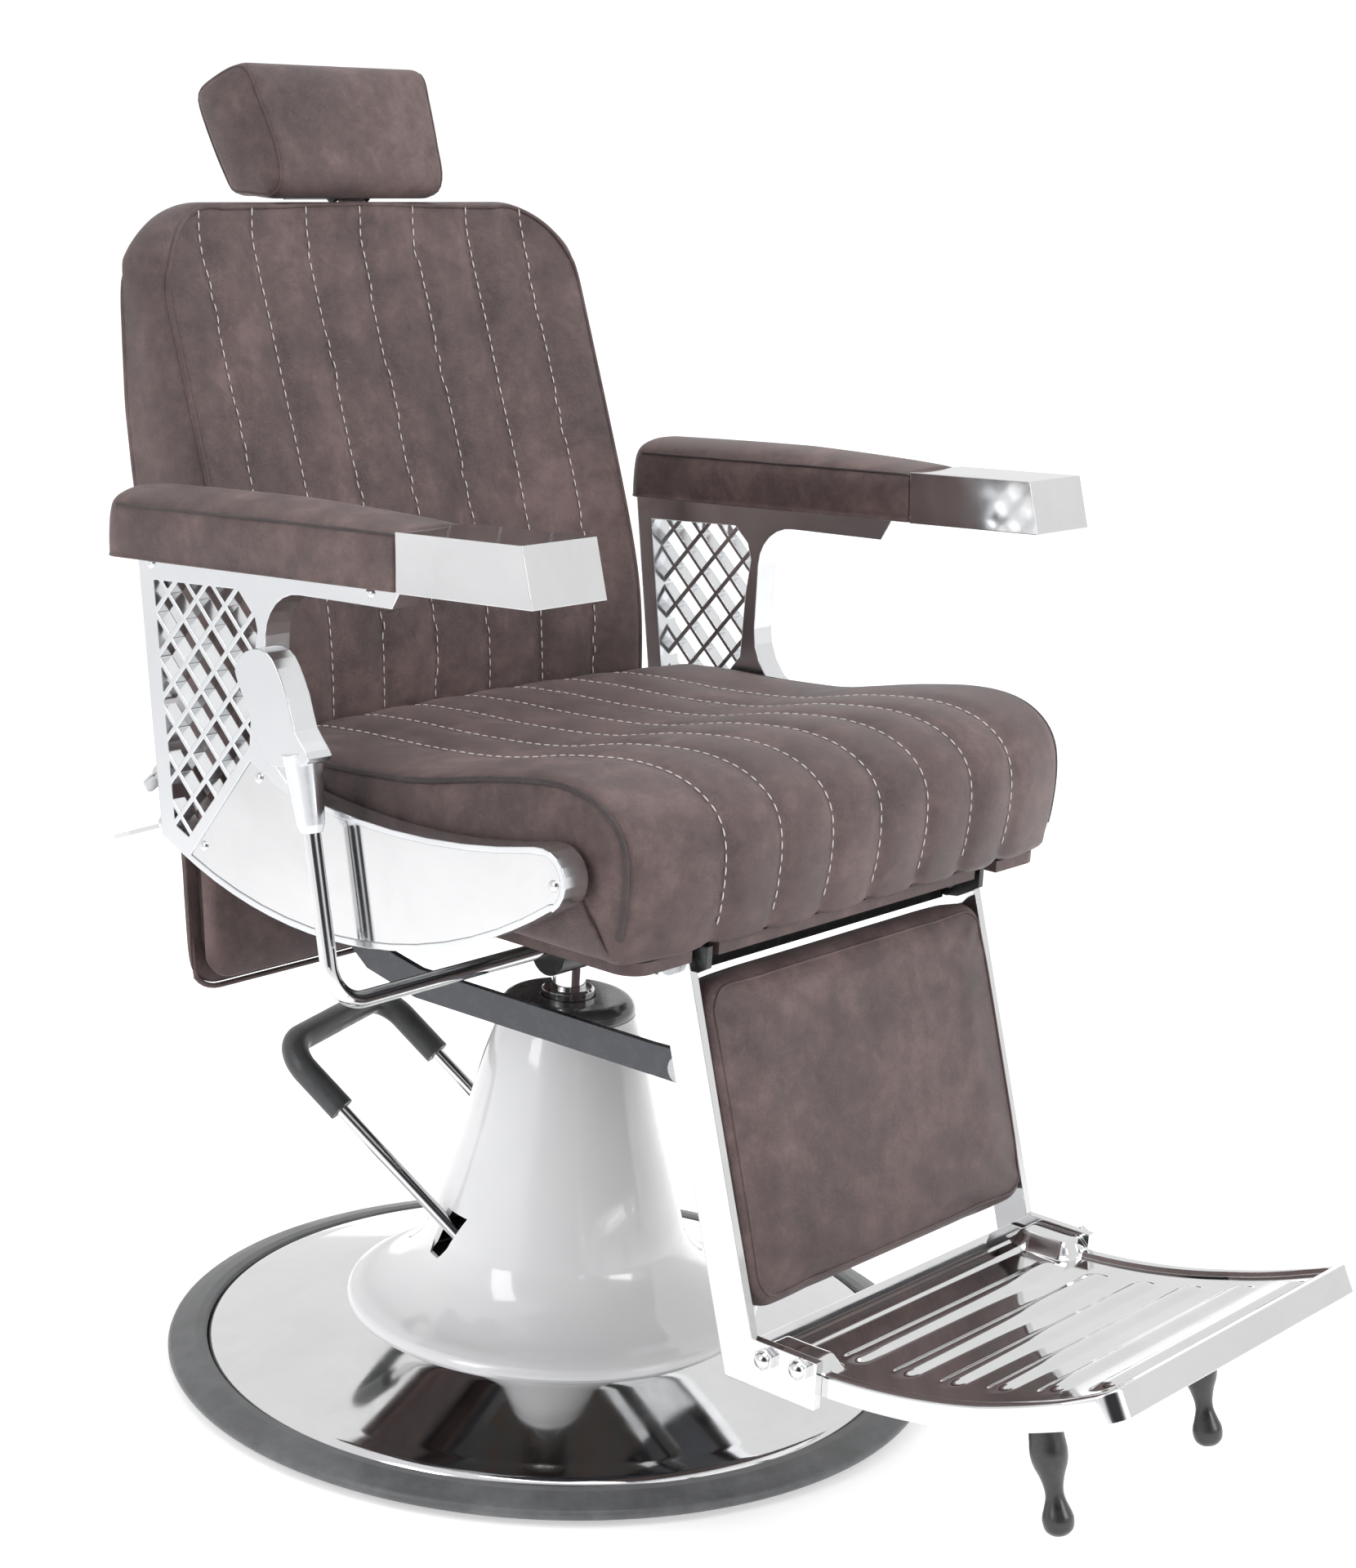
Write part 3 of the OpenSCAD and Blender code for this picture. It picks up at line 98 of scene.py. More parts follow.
for name, spot, size, power in (
    ("top_light", (0.2, -0.6, 3.4), (2.6, 2.2), 38),
    ("left_light", (-3.0, 0.2, 1.9), (1.0, 2.2), 27),
    ("front_light", (0.6, -3.4, 1.9), (1.4, 1.8), 40),
):
    light = bpy.data.lights.new(name, "AREA")
    light.shape, light.size, light.size_y, light.energy = "RECTANGLE", size[0], size[1], power
    lamp = bpy.data.objects.new(name, light)
    lamp.location = spot
    lamp.rotation_euler = (Vector((0, -0.1, 0.5)) - Vector(spot)).to_track_quat("-Z", "Y").to_euler()
    bpy.context.collection.objects.link(lamp)

floor_r, floor_sides = 14, 64
disc = bpy.data.meshes.new("floor")
around = np.linspace(0, 2 * math.pi, floor_sides, endpoint=False)
disc.from_pydata([(floor_r * math.cos(a), floor_r * math.sin(a), 0) for a in around], [],
                 [list(range(floor_sides))])
floor = bpy.data.objects.new("floor", disc)
bpy.context.collection.objects.link(floor)


# ---------- materials and meshes: what every section uses ----------

def add(tree, kind, settings=None, sockets=None):
    """A new node with its settings made first, then the values or links of its sockets."""
    node = tree.nodes.new(kind)
    for key, value in (settings or {}).items():
        setattr(node, key, value)
    for key, value in (sockets or {}).items():
        if isinstance(value, Value):
            tree.links.new(value.socket, node.inputs[key])
        elif isinstance(value, bpy.types.NodeSocket):
            tree.links.new(value, node.inputs[key])
        else:
            node.inputs[key].default_value = value
    return node


class Value:
    """A socket that takes ordinary arithmetic."""

    def __init__(self, finish, socket):
        self.finish, self.socket = finish, socket

    def math(self, operation, *values):
        return self.finish.node("Math", {"operation": operation}, dict(enumerate(values)))

    def __add__(self, other):
        return self.math("ADD", self, other)

    def __mul__(self, other):
        return self.math("MULTIPLY", self, other)

    def __rsub__(self, other):
        return self.math("SUBTRACT", other, self)

    def between(self, low, high, to_low=0.0, to_high=1.0):
        """This value's place between low and high, spread from to_low to to_high."""
        return self.finish.node("MapRange", {}, {0: self, 1: low, 2: high, 3: to_low, 4: to_high})


class Finish:
    """A material of one principled shader, whose other nodes come from node()."""

    def __init__(self, name, **fixed):
        self.material = bpy.data.materials.new(name)
        self.material.use_nodes = True
        self.tree = self.material.node_tree
        self.shader = self.tree.nodes["Principled BSDF"]
        self.place = self.node("TexCoord", out="Object")
        for key, value in fixed.items():
            self.shader.inputs[key.replace("_", " ")].default_value = value

    def node(self, kind, settings=None, sockets=None, out=0):
        return Value(self, add(self.tree, "ShaderNode" + kind, settings, sockets).outputs[out])

    def noise(self, scale, detail=3, roughness=0.5, warp=0, stretch=(1, 1, 1)):
        place = self.node("Mapping", {}, {"Vector": self.place, "Scale": stretch})
        return self.node("TexNoise", {}, {"Vector": place, "Scale": scale, "Detail": detail,
                                          "Roughness": roughness, "Distortion": warp})

    def blend(self, factor, a, b, how="MIX"):
        return self.node("Mix", {"data_type": "RGBA", "blend_type": how},
                         {0: factor, 6: a, 7: b}, out=2)

    def relief(self, height, distance, strength=1.0, edge=0):
        """Height as a bump, over edges that are rounded by the radius edge."""
        sockets = {"Height": height, "Distance": distance, "Strength": strength}
        if edge:
            sockets["Normal"] = self.node("Bevel", {"samples": 6}, {"Radius": edge})
        self.set(Normal=self.node("Bump", {}, sockets))

    def two_tone(self, mask, low, high, smooth, rough):
        """Two colours and two roughnesses, spread by one mask."""
        self.set(Base_Color=self.blend(mask, low, high), Roughness=mask.between(0, 1, smooth, rough))

    def set(self, **sockets):
        for key, value in sockets.items():
            self.tree.links.new(value.socket, self.shader.inputs[key.replace("_", " ")])


def grey(value, warm=1.0):
    """A neutral colour of that brightness, a little warm or cool."""
    return (value * warm, value, value / warm, 1)


def coat(finish, *names):
    """The finish on CAD nodes that keep their shape."""
    for name in names:
        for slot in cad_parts[name].material_slots:
            slot.material = finish.material


mm = 0.001


def moved(points, place):
    """Points after a matrix."""
    return points @ np.array(place.to_3x3()).T + np.array(place.translation)


def angles(first, last, count):
    """Even angles between two that are given in degrees."""
    return np.radians(np.linspace(first, last, count))


def through(a, b, c, d, t):
    """Catmull-Rom curve from b to c, with a before them and d behind."""
    return 0.5 * (2 * b + (c - a) * t + (2 * a - 5 * b + 4 * c - d) * t**2 + (3 * b - a - 3 * c + d) * t**3)


def open_curve(points, steps):
    """Smooth curve through a row of points, up to just before the last one."""
    t = np.linspace(0, 1, steps, endpoint=False)[:, None]
    first, last = np.arange(len(points) - 1), len(points) - 1
    a, b, c, d = (points[np.clip(first + k, 0, last)][:, None, :] for k in (-1, 0, 1, 2))
    return through(a, b, c, d, t).reshape(-1, 2)


def grid_mesh(name, rings, place=None):
    """A closed mesh over rings of points."""
    m, n = rings.shape[:2]
    mesh = bpy.data.meshes.new(name)
    i, j = np.meshgrid(np.arange(m - 1), np.arange(n), indexing="ij")
    k = (j + 1) % n
    faces = np.stack([i * n + j, i * n + k, (i + 1) * n + k, (i + 1) * n + j], -1).reshape(-1, 4)
    points = rings.reshape(-1, 3)
    if place is not None:
        points = moved(points, place)
    mesh.from_pydata(points.tolist(), [], faces.tolist())
    b = bmesh.new()
    b.from_mesh(mesh)
    bmesh.ops.remove_doubles(b, verts=b.verts, dist=0.02 * mm)
    bmesh.ops.dissolve_degenerate(b, edges=b.edges, dist=0.01 * mm)
    bmesh.ops.recalc_face_normals(b, faces=b.faces)
    b.to_mesh(mesh)
    b.free()
    for polygon in mesh.polygons:
        polygon.use_smooth = True
    piece = bpy.data.objects.new(name, mesh)
    bpy.context.collection.objects.link(piece)
    return piece


def spun(name, loop, finish, turns=144, place=None):
    """A piece that is spun from a closed loop of [r, z]."""
    r, z = loop.T
    turn = angles(0, 360, turns + 1)
    rings = [np.column_stack([r * math.cos(a), r * math.sin(a), z]) for a in turn]
    rings[-1] = rings[0]
    piece = grid_mesh(name, np.array(rings), place)
    piece.data.materials.append(finish.material)
    return piece


def stands_for(piece, body, slot, *nodes):
    """Puts a rigid piece on its body, in place of the CAD nodes that are named."""
    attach(piece, body)
    if nodes:
        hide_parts(*nodes)


pale = Finish("pale_floor", Roughness=0.75, Specular_IOR_Level=0.2, Emission_Strength=1.0)
away = pale.node("VectorMath", {"operation": "LENGTH"}, {0: pale.place}, out=1)
rearward = (0.772, 0.635, 0)
behind = pale.node("VectorMath", {"operation": "DOT_PRODUCT"}, {0: pale.place, 1: rearward}, out=1)
# The floor glows: brightest round the chair, painted light that lifts its shadow, dimmer further out, and
# bright again beyond the chair and far off.
glow = pale.blend(away.between(0.8, 2.4), grey(0.44), grey(0.12))
glow = pale.blend(behind.between(0.2, 1.2), glow, grey(0.50))
glow = pale.blend(away.between(3.5, 7.0), glow, grey(0.50))
pale.set(Base_Color=pale.blend(pale.noise(1.2), grey(0.84), grey(0.88)), Emission_Color=glow)
disc.materials.append(pale.material)


# ---------- base: rubber rim, iron weight and chrome dome ----------
# A heavy iron disc keeps the chair from tipping. A moulded rubber rim is pushed round its edge and
# takes the kicks, and a spun, chromed dome covers the disc from above.

rubber = Finish("black_rubber", Specular_IOR_Level=0.35)
dust = rubber.noise(30, 6, 0.65).between(0.4, 0.75)
rubber.two_tone(dust, grey(0.12, 0.98), grey(0.19, 0.98), 0.30, 0.48)
rubber.relief(rubber.noise(900, 2), 0.0002, 0.5, edge=0.002)
coat(rubber, "base_rim")

cast = Finish("raw_iron", Metallic=0.6)
rust = cast.noise(60, 5, 0.6).between(0.45, 0.7)
cast.two_tone(rust, grey(0.05), (0.09, 0.055, 0.04, 1), 0.55, 0.8)
cast.relief(cast.noise(350, 5), 0.0006, edge=0.001)
coat(cast, "base_weight", "pump_cylinder", "pump_block", "seat_hub", "ram_piston")

chrome = Finish("polished_chrome", Metallic=1.0)
wipe = chrome.noise(14, 5, 0.6, 0.4).between(0.35, 0.75)
scuff = chrome.noise(130, 3, 0.6, 0.0, (1, 1, 0.15)).between(0.6, 0.8)
chrome.set(Base_Color=chrome.blend(wipe, grey(0.78, 0.998), grey(0.72, 0.998)),
           Roughness=wipe.between(0, 1, 0.045, 0.11) + scuff * 0.03)
chrome.relief(chrome.noise(9, 2), 0.0010, 0.15, edge=0.0012)

dome_wall = 2.5 * mm
dome_r, roll_w, roll_h, flank_slope = 305.6, 12, 10.5, 0.282
roll = [(dome_r - roll_w * (1 - math.cos(a)), 13.5 + roll_h * math.sin(a))
        for a in angles(0, 74, 9)]
flank = [(r, 54.5 - flank_slope * (r - 184)) for r in np.linspace(284, 192, 24)]
crest = [(184, 54.2), (176, 55.4), (164, 55.8), (150, 55.8)]
top = np.array([(dome_r, 12)] + roll + flank + crest) * mm
dome = spun("dome_cover", np.vstack([top, top[:0:-1] - [0, dome_wall]]), chrome)
stands_for(dome, "base", "polished_chrome", "base_cover")


# ---------- column: enamelled shroud and dark cap ----------
# The shroud is a spun steel cone that flares out to a wide brim over the dome, sprayed in thick
# gloss white. A rounded cap closes its top round the lifting ram; its dark colour is painted
# shade, for the shade that lies on the shroud's top under the seat.

enamel = Finish("white_enamel", Roughness=0.13, Coat_Weight=0.7, Coat_Roughness=0.03)
# Faces that point down, as under the brim, are painted near black: painted shade, so that the dome reflects
# them dark.
upward = enamel.node("SeparateXYZ", {}, {0: enamel.node("NewGeometry", out=1)}, out=2)
below = 1 - upward.between(-0.9, -0.5)
paint_film = enamel.blend(enamel.noise(6, 4).between(0.3, 0.7), grey(0.93), grey(0.88, 0.99))
enamel.set(Base_Color=enamel.blend(below, paint_film, grey(0.08)))
enamel.relief(enamel.noise(240, 2), 0.0004, 0.10)

shell, shroud_top, ram_hole = 3 * mm, 321 * mm, 36 * mm
brim_r, brim_z, lip_round = 175, 55, 9
foot = [(140, 33), (141.5, 40), (144, 46)]
lip = [(brim_r + lip_round * math.cos(a), brim_z + lip_round * math.sin(a))
       for a in angles(-90, 62, 12)]
neck = [(172, 66.6), (160, 70.5), (148, 77), (136, 86.5), (124, 100), (115.5, 116), (111.5, 130),
        (101, 168), (86.5, 218), (71.5, 280), (62.5, 311), (60, 321)]
line = open_curve(np.array(foot + [(165, 46)] + lip + neck, float), 6) * mm
run_on = np.gradient(line, axis=0)
inward = np.stack([-run_on[:, 1], run_on[:, 0]], 1) / np.linalg.norm(run_on, axis=1)[:, None]
inner = (line + inward * shell)[::-1]
crown = [[60 * mm, shroud_top], [ram_hole, shroud_top], [ram_hole, shroud_top - shell]]
shroud = spun("shroud", np.vstack([line, crown, inner]), enamel)

# The pedal's two rods go in through slots, which leave room for their travel.
slot_turn, slot_x, slot_y, slot_z = math.radians(17), 90 * mm, 50 * mm, 129 * mm
slot_w, slot_l, slot_h = 16 * mm, 60 * mm, 42 * mm
for side in (-1, 1):
    cutter = bpy.data.meshes.new("pedal_slot")
    b = bmesh.new()
    bmesh.ops.create_cube(b, size=1, matrix=Matrix.Rotation(slot_turn, 4, "Z")
                          @ Matrix.Translation((side * slot_x, slot_y, slot_z))
                          @ Matrix.Diagonal((slot_w, slot_l, slot_h, 1)))
    b.to_mesh(cutter)
    b.free()
    slot_box = bpy.data.objects.new("pedal_slot", cutter)
    bpy.context.collection.objects.link(slot_box)
    cut = shroud.modifiers.new("pedal_slot", "BOOLEAN")
    cut.operation, cut.solver, cut.object = "DIFFERENCE", "EXACT", slot_box
    bpy.context.view_layer.update()
    shown = shroud.evaluated_get(bpy.context.evaluated_depsgraph_get())
    cut_mesh = bpy.data.meshes.new_from_object(shown)
    shroud.modifiers.clear()
    shroud.data = cut_mesh
    bpy.data.objects.remove(slot_box)
shroud.data.set_sharp_from_angle(angle=math.radians(40))
stands_for(shroud, "base", "white_enamel", "column_shroud")

# The cap's dark enamel is painted shade: the top of the shroud lies in shade under the seat.
dark_enamel = Finish("dark_enamel", Coat_Weight=0.5, Coat_Roughness=0.08)
worn = dark_enamel.noise(50, 4).between(0.4, 0.8)
dark_enamel.two_tone(worn, grey(0.12, 0.98), grey(0.20, 0.97), 0.18, 0.34)
dark_enamel.relief(dark_enamel.noise(300, 2), 0.0003, 0.2, edge=0.002)
coat(dark_enamel, "shroud_collar")


# ---------- pump and ram ----------
# A foot pedal of bent chrome rod with a rubber sleeve works a small plunger pump behind the
# cylinder. The polished ram comes up through a gland nut and carries the seat.

zinc = Finish("zinc_steel", Metallic=1.0)
brush = zinc.noise(60, 3, 0.6, 0, (1, 1, 14)).between(0.3, 0.7)
zinc.two_tone(brush, grey(0.42, 0.99), grey(0.58, 0.98), 0.26, 0.42)
zinc.relief(brush, 0.0002, 0.3, edge=0.0008)
coat(zinc, "pump_bolts", "pedal_spring", "pedal_shaft", "pump_plunger")
coat(chrome, "ram", "gland_nut", "pedal_bar")

grip = Finish("grip_rubber", Specular_IOR_Level=0.5)
shine = grip.noise(45, 5, 0.6).between(0.35, 0.7)
grip.two_tone(shine, grey(0.050, 0.98), grey(0.075, 0.97), 0.3, 0.5)
grip.relief(grip.noise(700, 2), 0.00015, 0.5, edge=0.001)
coat(grip, "pedal_grip")


# ---------- frame under the seat ----------
# Rails and cross bars of black painted steel, welded into a frame that sits on the ram's hub.
# The side castings hang from it on plated angle brackets.

paint = Finish("black_paint", Coat_Weight=0.25, Coat_Roughness=0.2)
rubbed = paint.noise(80, 5, 0.6).between(0.55, 0.8)
paint.two_tone(rubbed, grey(0.016), grey(0.05), 0.28, 0.5)
paint.relief(paint.noise(420, 3), 0.0003, 0.35, edge=0.001)
coat(paint, "seat_subframe", "lever_block", "recline_cylinder")
coat(zinc, "side_mounts", "back_pivot_pins", "leg_pivot_bolts")


# ---------- leather and cushions: what every cover uses ----------

def leather_finish(name, dark, middle, light, shift, shade_below=False):
    """Waxed leather: cloudy light and dark patches, small cells and fine pores, and, when asked for, painted
    shade on the faces that point down.
    """
    f = Finish(name, Sheen_Weight=0.12, Sheen_Roughness=0.4, Specular_IOR_Level=0.42)
    f.place = f.node("Mapping", {}, {"Vector": f.place, "Location": shift})
    cloud = f.noise(9, 5, 0.62, 0.15)
    rub = f.noise(38, 7, 0.72, 0.2)
    cells = f.node("TexVoronoi", {"feature": "DISTANCE_TO_EDGE"}, {"Vector": f.place, "Scale": 620.0})
    veins = f.node("TexVoronoi", {"feature": "DISTANCE_TO_EDGE"}, {
        "Vector": f.blend(0.5, f.place, f.noise(60, 3), "ADD"), "Scale": 70.0})
    patch = (cloud * 0.5 + rub * 0.5).between(0.37, 0.63)
    colour = f.blend(patch.between(0.0, 0.5), dark, middle)
    colour = f.blend(patch.between(0.5, 1.0), colour, light)
    colour = f.blend(veins.between(0.0, 0.05, 0.22, 0.0), colour, light)
    # Faces that point down are painted near black: painted shade under the boards, which the dome reflects
    # dark.
    if shade_below:
        down = f.node("SeparateXYZ", {}, {0: f.node("NewGeometry", out=1)}, out=2).between(-0.5, -0.9)
        colour = f.blend(down, colour, (0.026, 0.027, 0.034, 1))
    f.set(Base_Color=colour, Roughness=patch.between(0, 1, 0.40, 0.56))
    grain = cells.between(0.0, 0.35) + f.noise(1500, 2) * 0.5 + veins.between(0, 0.08) * 0.8
    f.relief(grain, 0.00025, 0.55)
    return f


hide = ((0.056, 0.035, 0.034, 1), (0.100, 0.065, 0.062, 1), (0.168, 0.113, 0.105, 1))
leather = leather_finish("brown_leather", *hide, (0, 0, 0))
# The boards' leather carries painted shade on its faces that point down.
board_leather = leather_finish("board_leather", *hide, (0, 0, 0), shade_below=True)
dark_leather = leather_finish("piping_leather", (0.030, 0.021, 0.021, 1), (0.050, 0.036, 0.035, 1),
                              (0.085, 0.062, 0.060, 1), (0.3, 0.1, 0.2))
coat(board_leather, "leg_pad_board", "seat_board")
coat(dark_leather, "back_board")

thread = Finish("pale_thread", Roughness=0.65, Sheen_Weight=0.3)
ply_twist = thread.noise(900, 2)
thread.set(Base_Color=thread.blend(ply_twist, (0.62, 0.58, 0.53, 1), (0.86, 0.84, 0.80, 1)))
thread.relief(ply_twist, 0.0002, 0.8)


def closed_curve(points, steps):
    """Catmull-Rom curve through a closed list of points."""
    p = np.array(points, float)
    a, c, d = np.roll(p, 1, 0), np.roll(p, -1, 0), np.roll(p, -2, 0)
    t = (np.arange(steps) / steps)[None, :, None]
    a, b, c, d = (q[:, None, :] for q in (a, p, c, d))
    return through(a, b, c, d, t).reshape(-1, 2)


def evenly(loop, count):
    """The closed loop with that many points at even distances, starting at its first."""
    ring = np.vstack([loop, loop[:1]])
    run = np.concatenate([[0], np.cumsum(np.linalg.norm(np.diff(ring, axis=0), axis=1))])
    at = np.linspace(0, run[-1], count, endpoint=False)
    return np.stack([np.interp(at, run, ring[:, i]) for i in range(loop.shape[1])], 1)


def outward(loop):
    """Outward normals of a closed clockwise loop of [y, z]."""
    t = np.roll(loop, -1, 0) - np.roll(loop, 1, 0)
    t /= np.linalg.norm(t, axis=1)[:, None] + 1e-12
    return np.stack([-t[:, 1], t[:, 0]], 1)


def edge_in(d, r):
    """How far an edge of radius r has drawn in at the distance d from the side."""
    return np.where(d >= r, 0, r - np.sqrt(np.maximum(0, r * r - (r - np.minimum(d, r)) ** 2)))


def channel(x, pitch, depth, rows=3):
    """Depth of the sewn channels at x: full and round between the rows, narrow at a row."""
    k = np.clip(np.round(x / pitch), -rows, rows)
    t = np.clip(1 - np.abs(x - k * pitch) / (pitch / 2), 0, 1)
    return depth * (1 - (1 - t**2.4) ** 0.62)


def spread(pitch, half, per_channel, per_side, rows=3):
    """Places across a channelled cushion, with one on each row."""
    inner = np.linspace(-rows * pitch, rows * pitch, 2 * rows * per_channel + 1)
    outer = rows * pitch + (half - rows * pitch) * (1 - (1 - np.arange(1, per_side + 1) / per_side) ** 1.7)
    return np.concatenate([-outer[::-1], inner, outer])


def middle_line(section, tip, inset):
    """For each point of a section, its place on the line between the section's two faces.
    The line starts near tip, and stays inset from the section's ends."""
    n = len(section)
    order = (np.argmin(np.linalg.norm(section - tip, axis=1)) + np.arange(n // 2 + 1)) % n
    partner = (2 * order[0] - order) % n
    line = (section[order] + section[partner]) / 2
    run = np.concatenate([[0], np.cumsum(np.linalg.norm(np.diff(line, axis=0), axis=1))])
    at = np.clip(run, inset, run[-1] - inset)
    centre = np.empty_like(section)
    centre[partner] = centre[order] = np.stack([np.interp(at, run, line[:, i]) for i in range(2)], 1)
    return centre


def with_ends(xs, sections, tip, inset, steps, crown):
    """Closes a row of sections with rings that shrink to their middle line, crowned outwards."""
    def end(section, x, sign):
        centre = middle_line(section, tip, inset)
        return [np.column_stack([np.full(len(section), x + sign * crown * (1 - s * s)),
                                 centre + (section - centre) * s])
                for s in np.linspace(1, 0, steps + 1)[1:]]

    rings = [np.column_stack([np.full(len(s), x), s]) for x, s in zip(xs, sections)]
    return np.array(end(sections[0], xs[0], -1)[::-1] + rings + end(sections[-1], xs[-1], 1))


def coords(mesh):
    out = np.empty(len(mesh.vertices) * 3)
    mesh.vertices.foreach_get("co", out)
    return out.reshape(-1, 3)


def swell(piece, held, pressure, reach):
    """Blows the cover up as the foam inside does.
    Sewn points stay, and no point moves further than reach."""
    last_frame = 20
    rest = coords(piece.data)
    group = piece.vertex_groups.new(name="held")
    group.add([int(v) for v in np.nonzero(held(rest))[0]], 1.0, "REPLACE")
    cloth = piece.modifiers.new("swell", "CLOTH")
    s = cloth.settings
    s.vertex_group_mass = "held"
    s.use_pressure, s.uniform_pressure_force = True, pressure
    s.quality, s.mass = 5, 0.3
    s.tension_stiffness = s.compression_stiffness = 18
    s.shear_stiffness, s.bending_stiffness = 8, 0.6
    s.effector_weights.gravity = 0
    cloth.point_cache.frame_start, cloth.point_cache.frame_end = 1, last_frame
    for f in range(1, last_frame + 1):
        bpy.context.scene.frame_set(f)
    shown = piece.evaluated_get(bpy.context.evaluated_depsgraph_get())
    move = coords(shown.data) - rest
    length = np.linalg.norm(move, axis=1)[:, None]
    piece.modifiers.remove(cloth)
    piece.vertex_groups.remove(group)
    bpy.context.scene.frame_set(1)
    blown = rest + move * np.minimum(1, reach / np.maximum(length, 1e-9))
    piece.data.vertices.foreach_set("co", blown.ravel())
    piece.data.update()


def plain(piece):
    """The piece with its modifiers made into its own mesh."""
    shown = piece.evaluated_get(bpy.context.evaluated_depsgraph_get())
    mesh = bpy.data.meshes.new_from_object(shown)
    piece.modifiers.clear()
    piece.data = mesh
    return piece


def upholster(piece, finish, body, *nodes):
    """Smooths a finished cover, gives it its leather and puts it in place of its solids."""
    smooth = piece.modifiers.new("smooth", "SUBSURF")
    smooth.levels = smooth.render_levels = 1
    plain(piece)
    piece.data.materials.clear()
    piece.data.materials.append(finish.material)
    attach(piece, body)
    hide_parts(*nodes)
    return piece


def named_input(tree, name, kind, value=None):
    socket = tree.interface.new_socket(name, in_out="INPUT", socket_type="NodeSocket" + kind)
    if value is not None:
        socket.default_value = value


def start_tree(name, inputs):
    """A node tree from one geometry to another, with named inputs."""
    tree = bpy.data.node_groups.new(name, "GeometryNodeTree")
    tree.is_modifier = True
    named_input(tree, "Geometry", "Geometry")
    for key, (kind, value) in inputs.items():
        named_input(tree, key, kind, value)
    tree.interface.new_socket("Geometry", in_out="OUTPUT", socket_type="NodeSocketGeometry")
    return tree, add(tree, "NodeGroupInput").outputs


def end_tree(tree, geometry, material):
    """Realizes the copies, gives them their material and closes the tree."""
    real = add(tree, "GeometryNodeRealizeInstances", {}, {0: geometry})
    coated = add(tree, "GeometryNodeSetMaterial", {}, {0: real.outputs[0], "Material": material})
    add(tree, "NodeGroupOutput", {}, {0: coated.outputs[0]})


stitch_tree, given = start_tree("stitches", {
    "Pitch": ("Float", 0.0098), "Length": ("Float", 0.0072), "Thickness": ("Float", 0.0013),
    "Thread": ("Material", None)})
rows = add(stitch_tree, "GeometryNodeMeshToCurve", {}, {0: given["Geometry"]})
dots = add(stitch_tree, "GeometryNodeResampleCurve", {"mode": "LENGTH"},
           {"Curve": rows.outputs[0], "Length": given["Pitch"]})
bead = add(stitch_tree, "GeometryNodeMeshUVSphere", {}, {"Segments": 6, "Rings": 5, "Radius": 0.5})
size = add(stitch_tree, "ShaderNodeCombineXYZ", {},
           {"X": given["Thickness"], "Y": given["Thickness"], "Z": given["Length"]})
turn = add(stitch_tree, "FunctionNodeAlignRotationToVector", {"axis": "Z"},
           {"Vector": add(stitch_tree, "GeometryNodeInputTangent").outputs[0]})
sewn = add(stitch_tree, "GeometryNodeInstanceOnPoints", {}, {
    "Points": dots.outputs[0], "Instance": bead.outputs[0],
    "Rotation": turn.outputs[0], "Scale": size.outputs[0]})
end_tree(stitch_tree, sewn.outputs[0], given["Thread"])

bead_tree, given = start_tree("bead", {"Radius": ("Float", 0.003), "Cover": ("Material", None)})
lines = add(bead_tree, "GeometryNodeMeshToCurve", {}, {0: given["Geometry"]})
even = add(bead_tree, "GeometryNodeResampleCurve", {"mode": "LENGTH"},
           {"Curve": lines.outputs[0], "Length": 0.006})
ring = add(bead_tree, "GeometryNodeCurvePrimitiveCircle", {}, {"Resolution": 8, "Radius": given["Radius"]})
tube = add(bead_tree, "GeometryNodeCurveToMesh", {},
           {"Curve": even.outputs[0], "Profile Curve": ring.outputs[0], "Fill Caps": True})
round_tube = add(bead_tree, "GeometryNodeSetShadeSmooth", {}, {0: tube.outputs[0]})
end_tree(bead_tree, round_tube.outputs[0], given["Cover"])


def lay_on(piece, lines, lift):
    """Lines moved to the nearest place on the piece, and lifted off it."""
    surface = BVHTree.FromPolygons([v.co for v in piece.data.vertices],
                                   [p.vertices for p in piece.data.polygons])
    laid = []
    for line in lines:
        found = [surface.find_nearest(Vector(p)) for p in line]
        laid.append([place + normal * lift for place, normal, *_ in found])
    return laid


def run(name, lines, tree, values, body, slot, closed=False):
    """A piece that a node tree makes along the lines."""
    mesh = bpy.data.meshes.new(name)
    points = [p for line in lines for p in line]
    starts = np.cumsum([0] + [len(line) for line in lines])
    edges = [(a + i, a + i + 1) for a, line in zip(starts, lines) for i in range(len(line) - 1)]
    if closed:
        edges += [(a + len(line) - 1, a) for a, line in zip(starts, lines)]
    mesh.from_pydata([tuple(p) for p in points], [(int(a), int(b)) for a, b in edges], [])
    piece = bpy.data.objects.new(name, mesh)
    bpy.context.collection.objects.link(piece)
    made = piece.modifiers.new(name, "NODES")
    made.node_group = tree
    for item in tree.interface.items_tree:
        if item.in_out == "INPUT" and item.name in values:
            made[item.identifier] = values[item.name]
    plain(piece)
    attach(piece, body)
    return piece


def cushion(name, places, section, tip, inset, steps, crown, place=None):
    """A cushion's cover from its sections at places across it."""
    rings = with_ends(places, [section(x) for x in places], tip, inset, steps, crown)
    return grid_mesh(name, rings, place)


def pipe(name, piece, lines, lift, radius, cover, body, closed=False):
    """A bead of leather that lies along the lines on a piece."""
    run(name, lay_on(piece, lines, lift), bead_tree, {"Radius": radius, "Cover": cover.material},
        body, "brown_leather", closed)


# ---------- seat cushion ----------
# A thick foam block under soft, distressed brown leather. Seven rows of pale stitches run from
# the back edge over the front, and piping closes the seam between the top and each side panel.

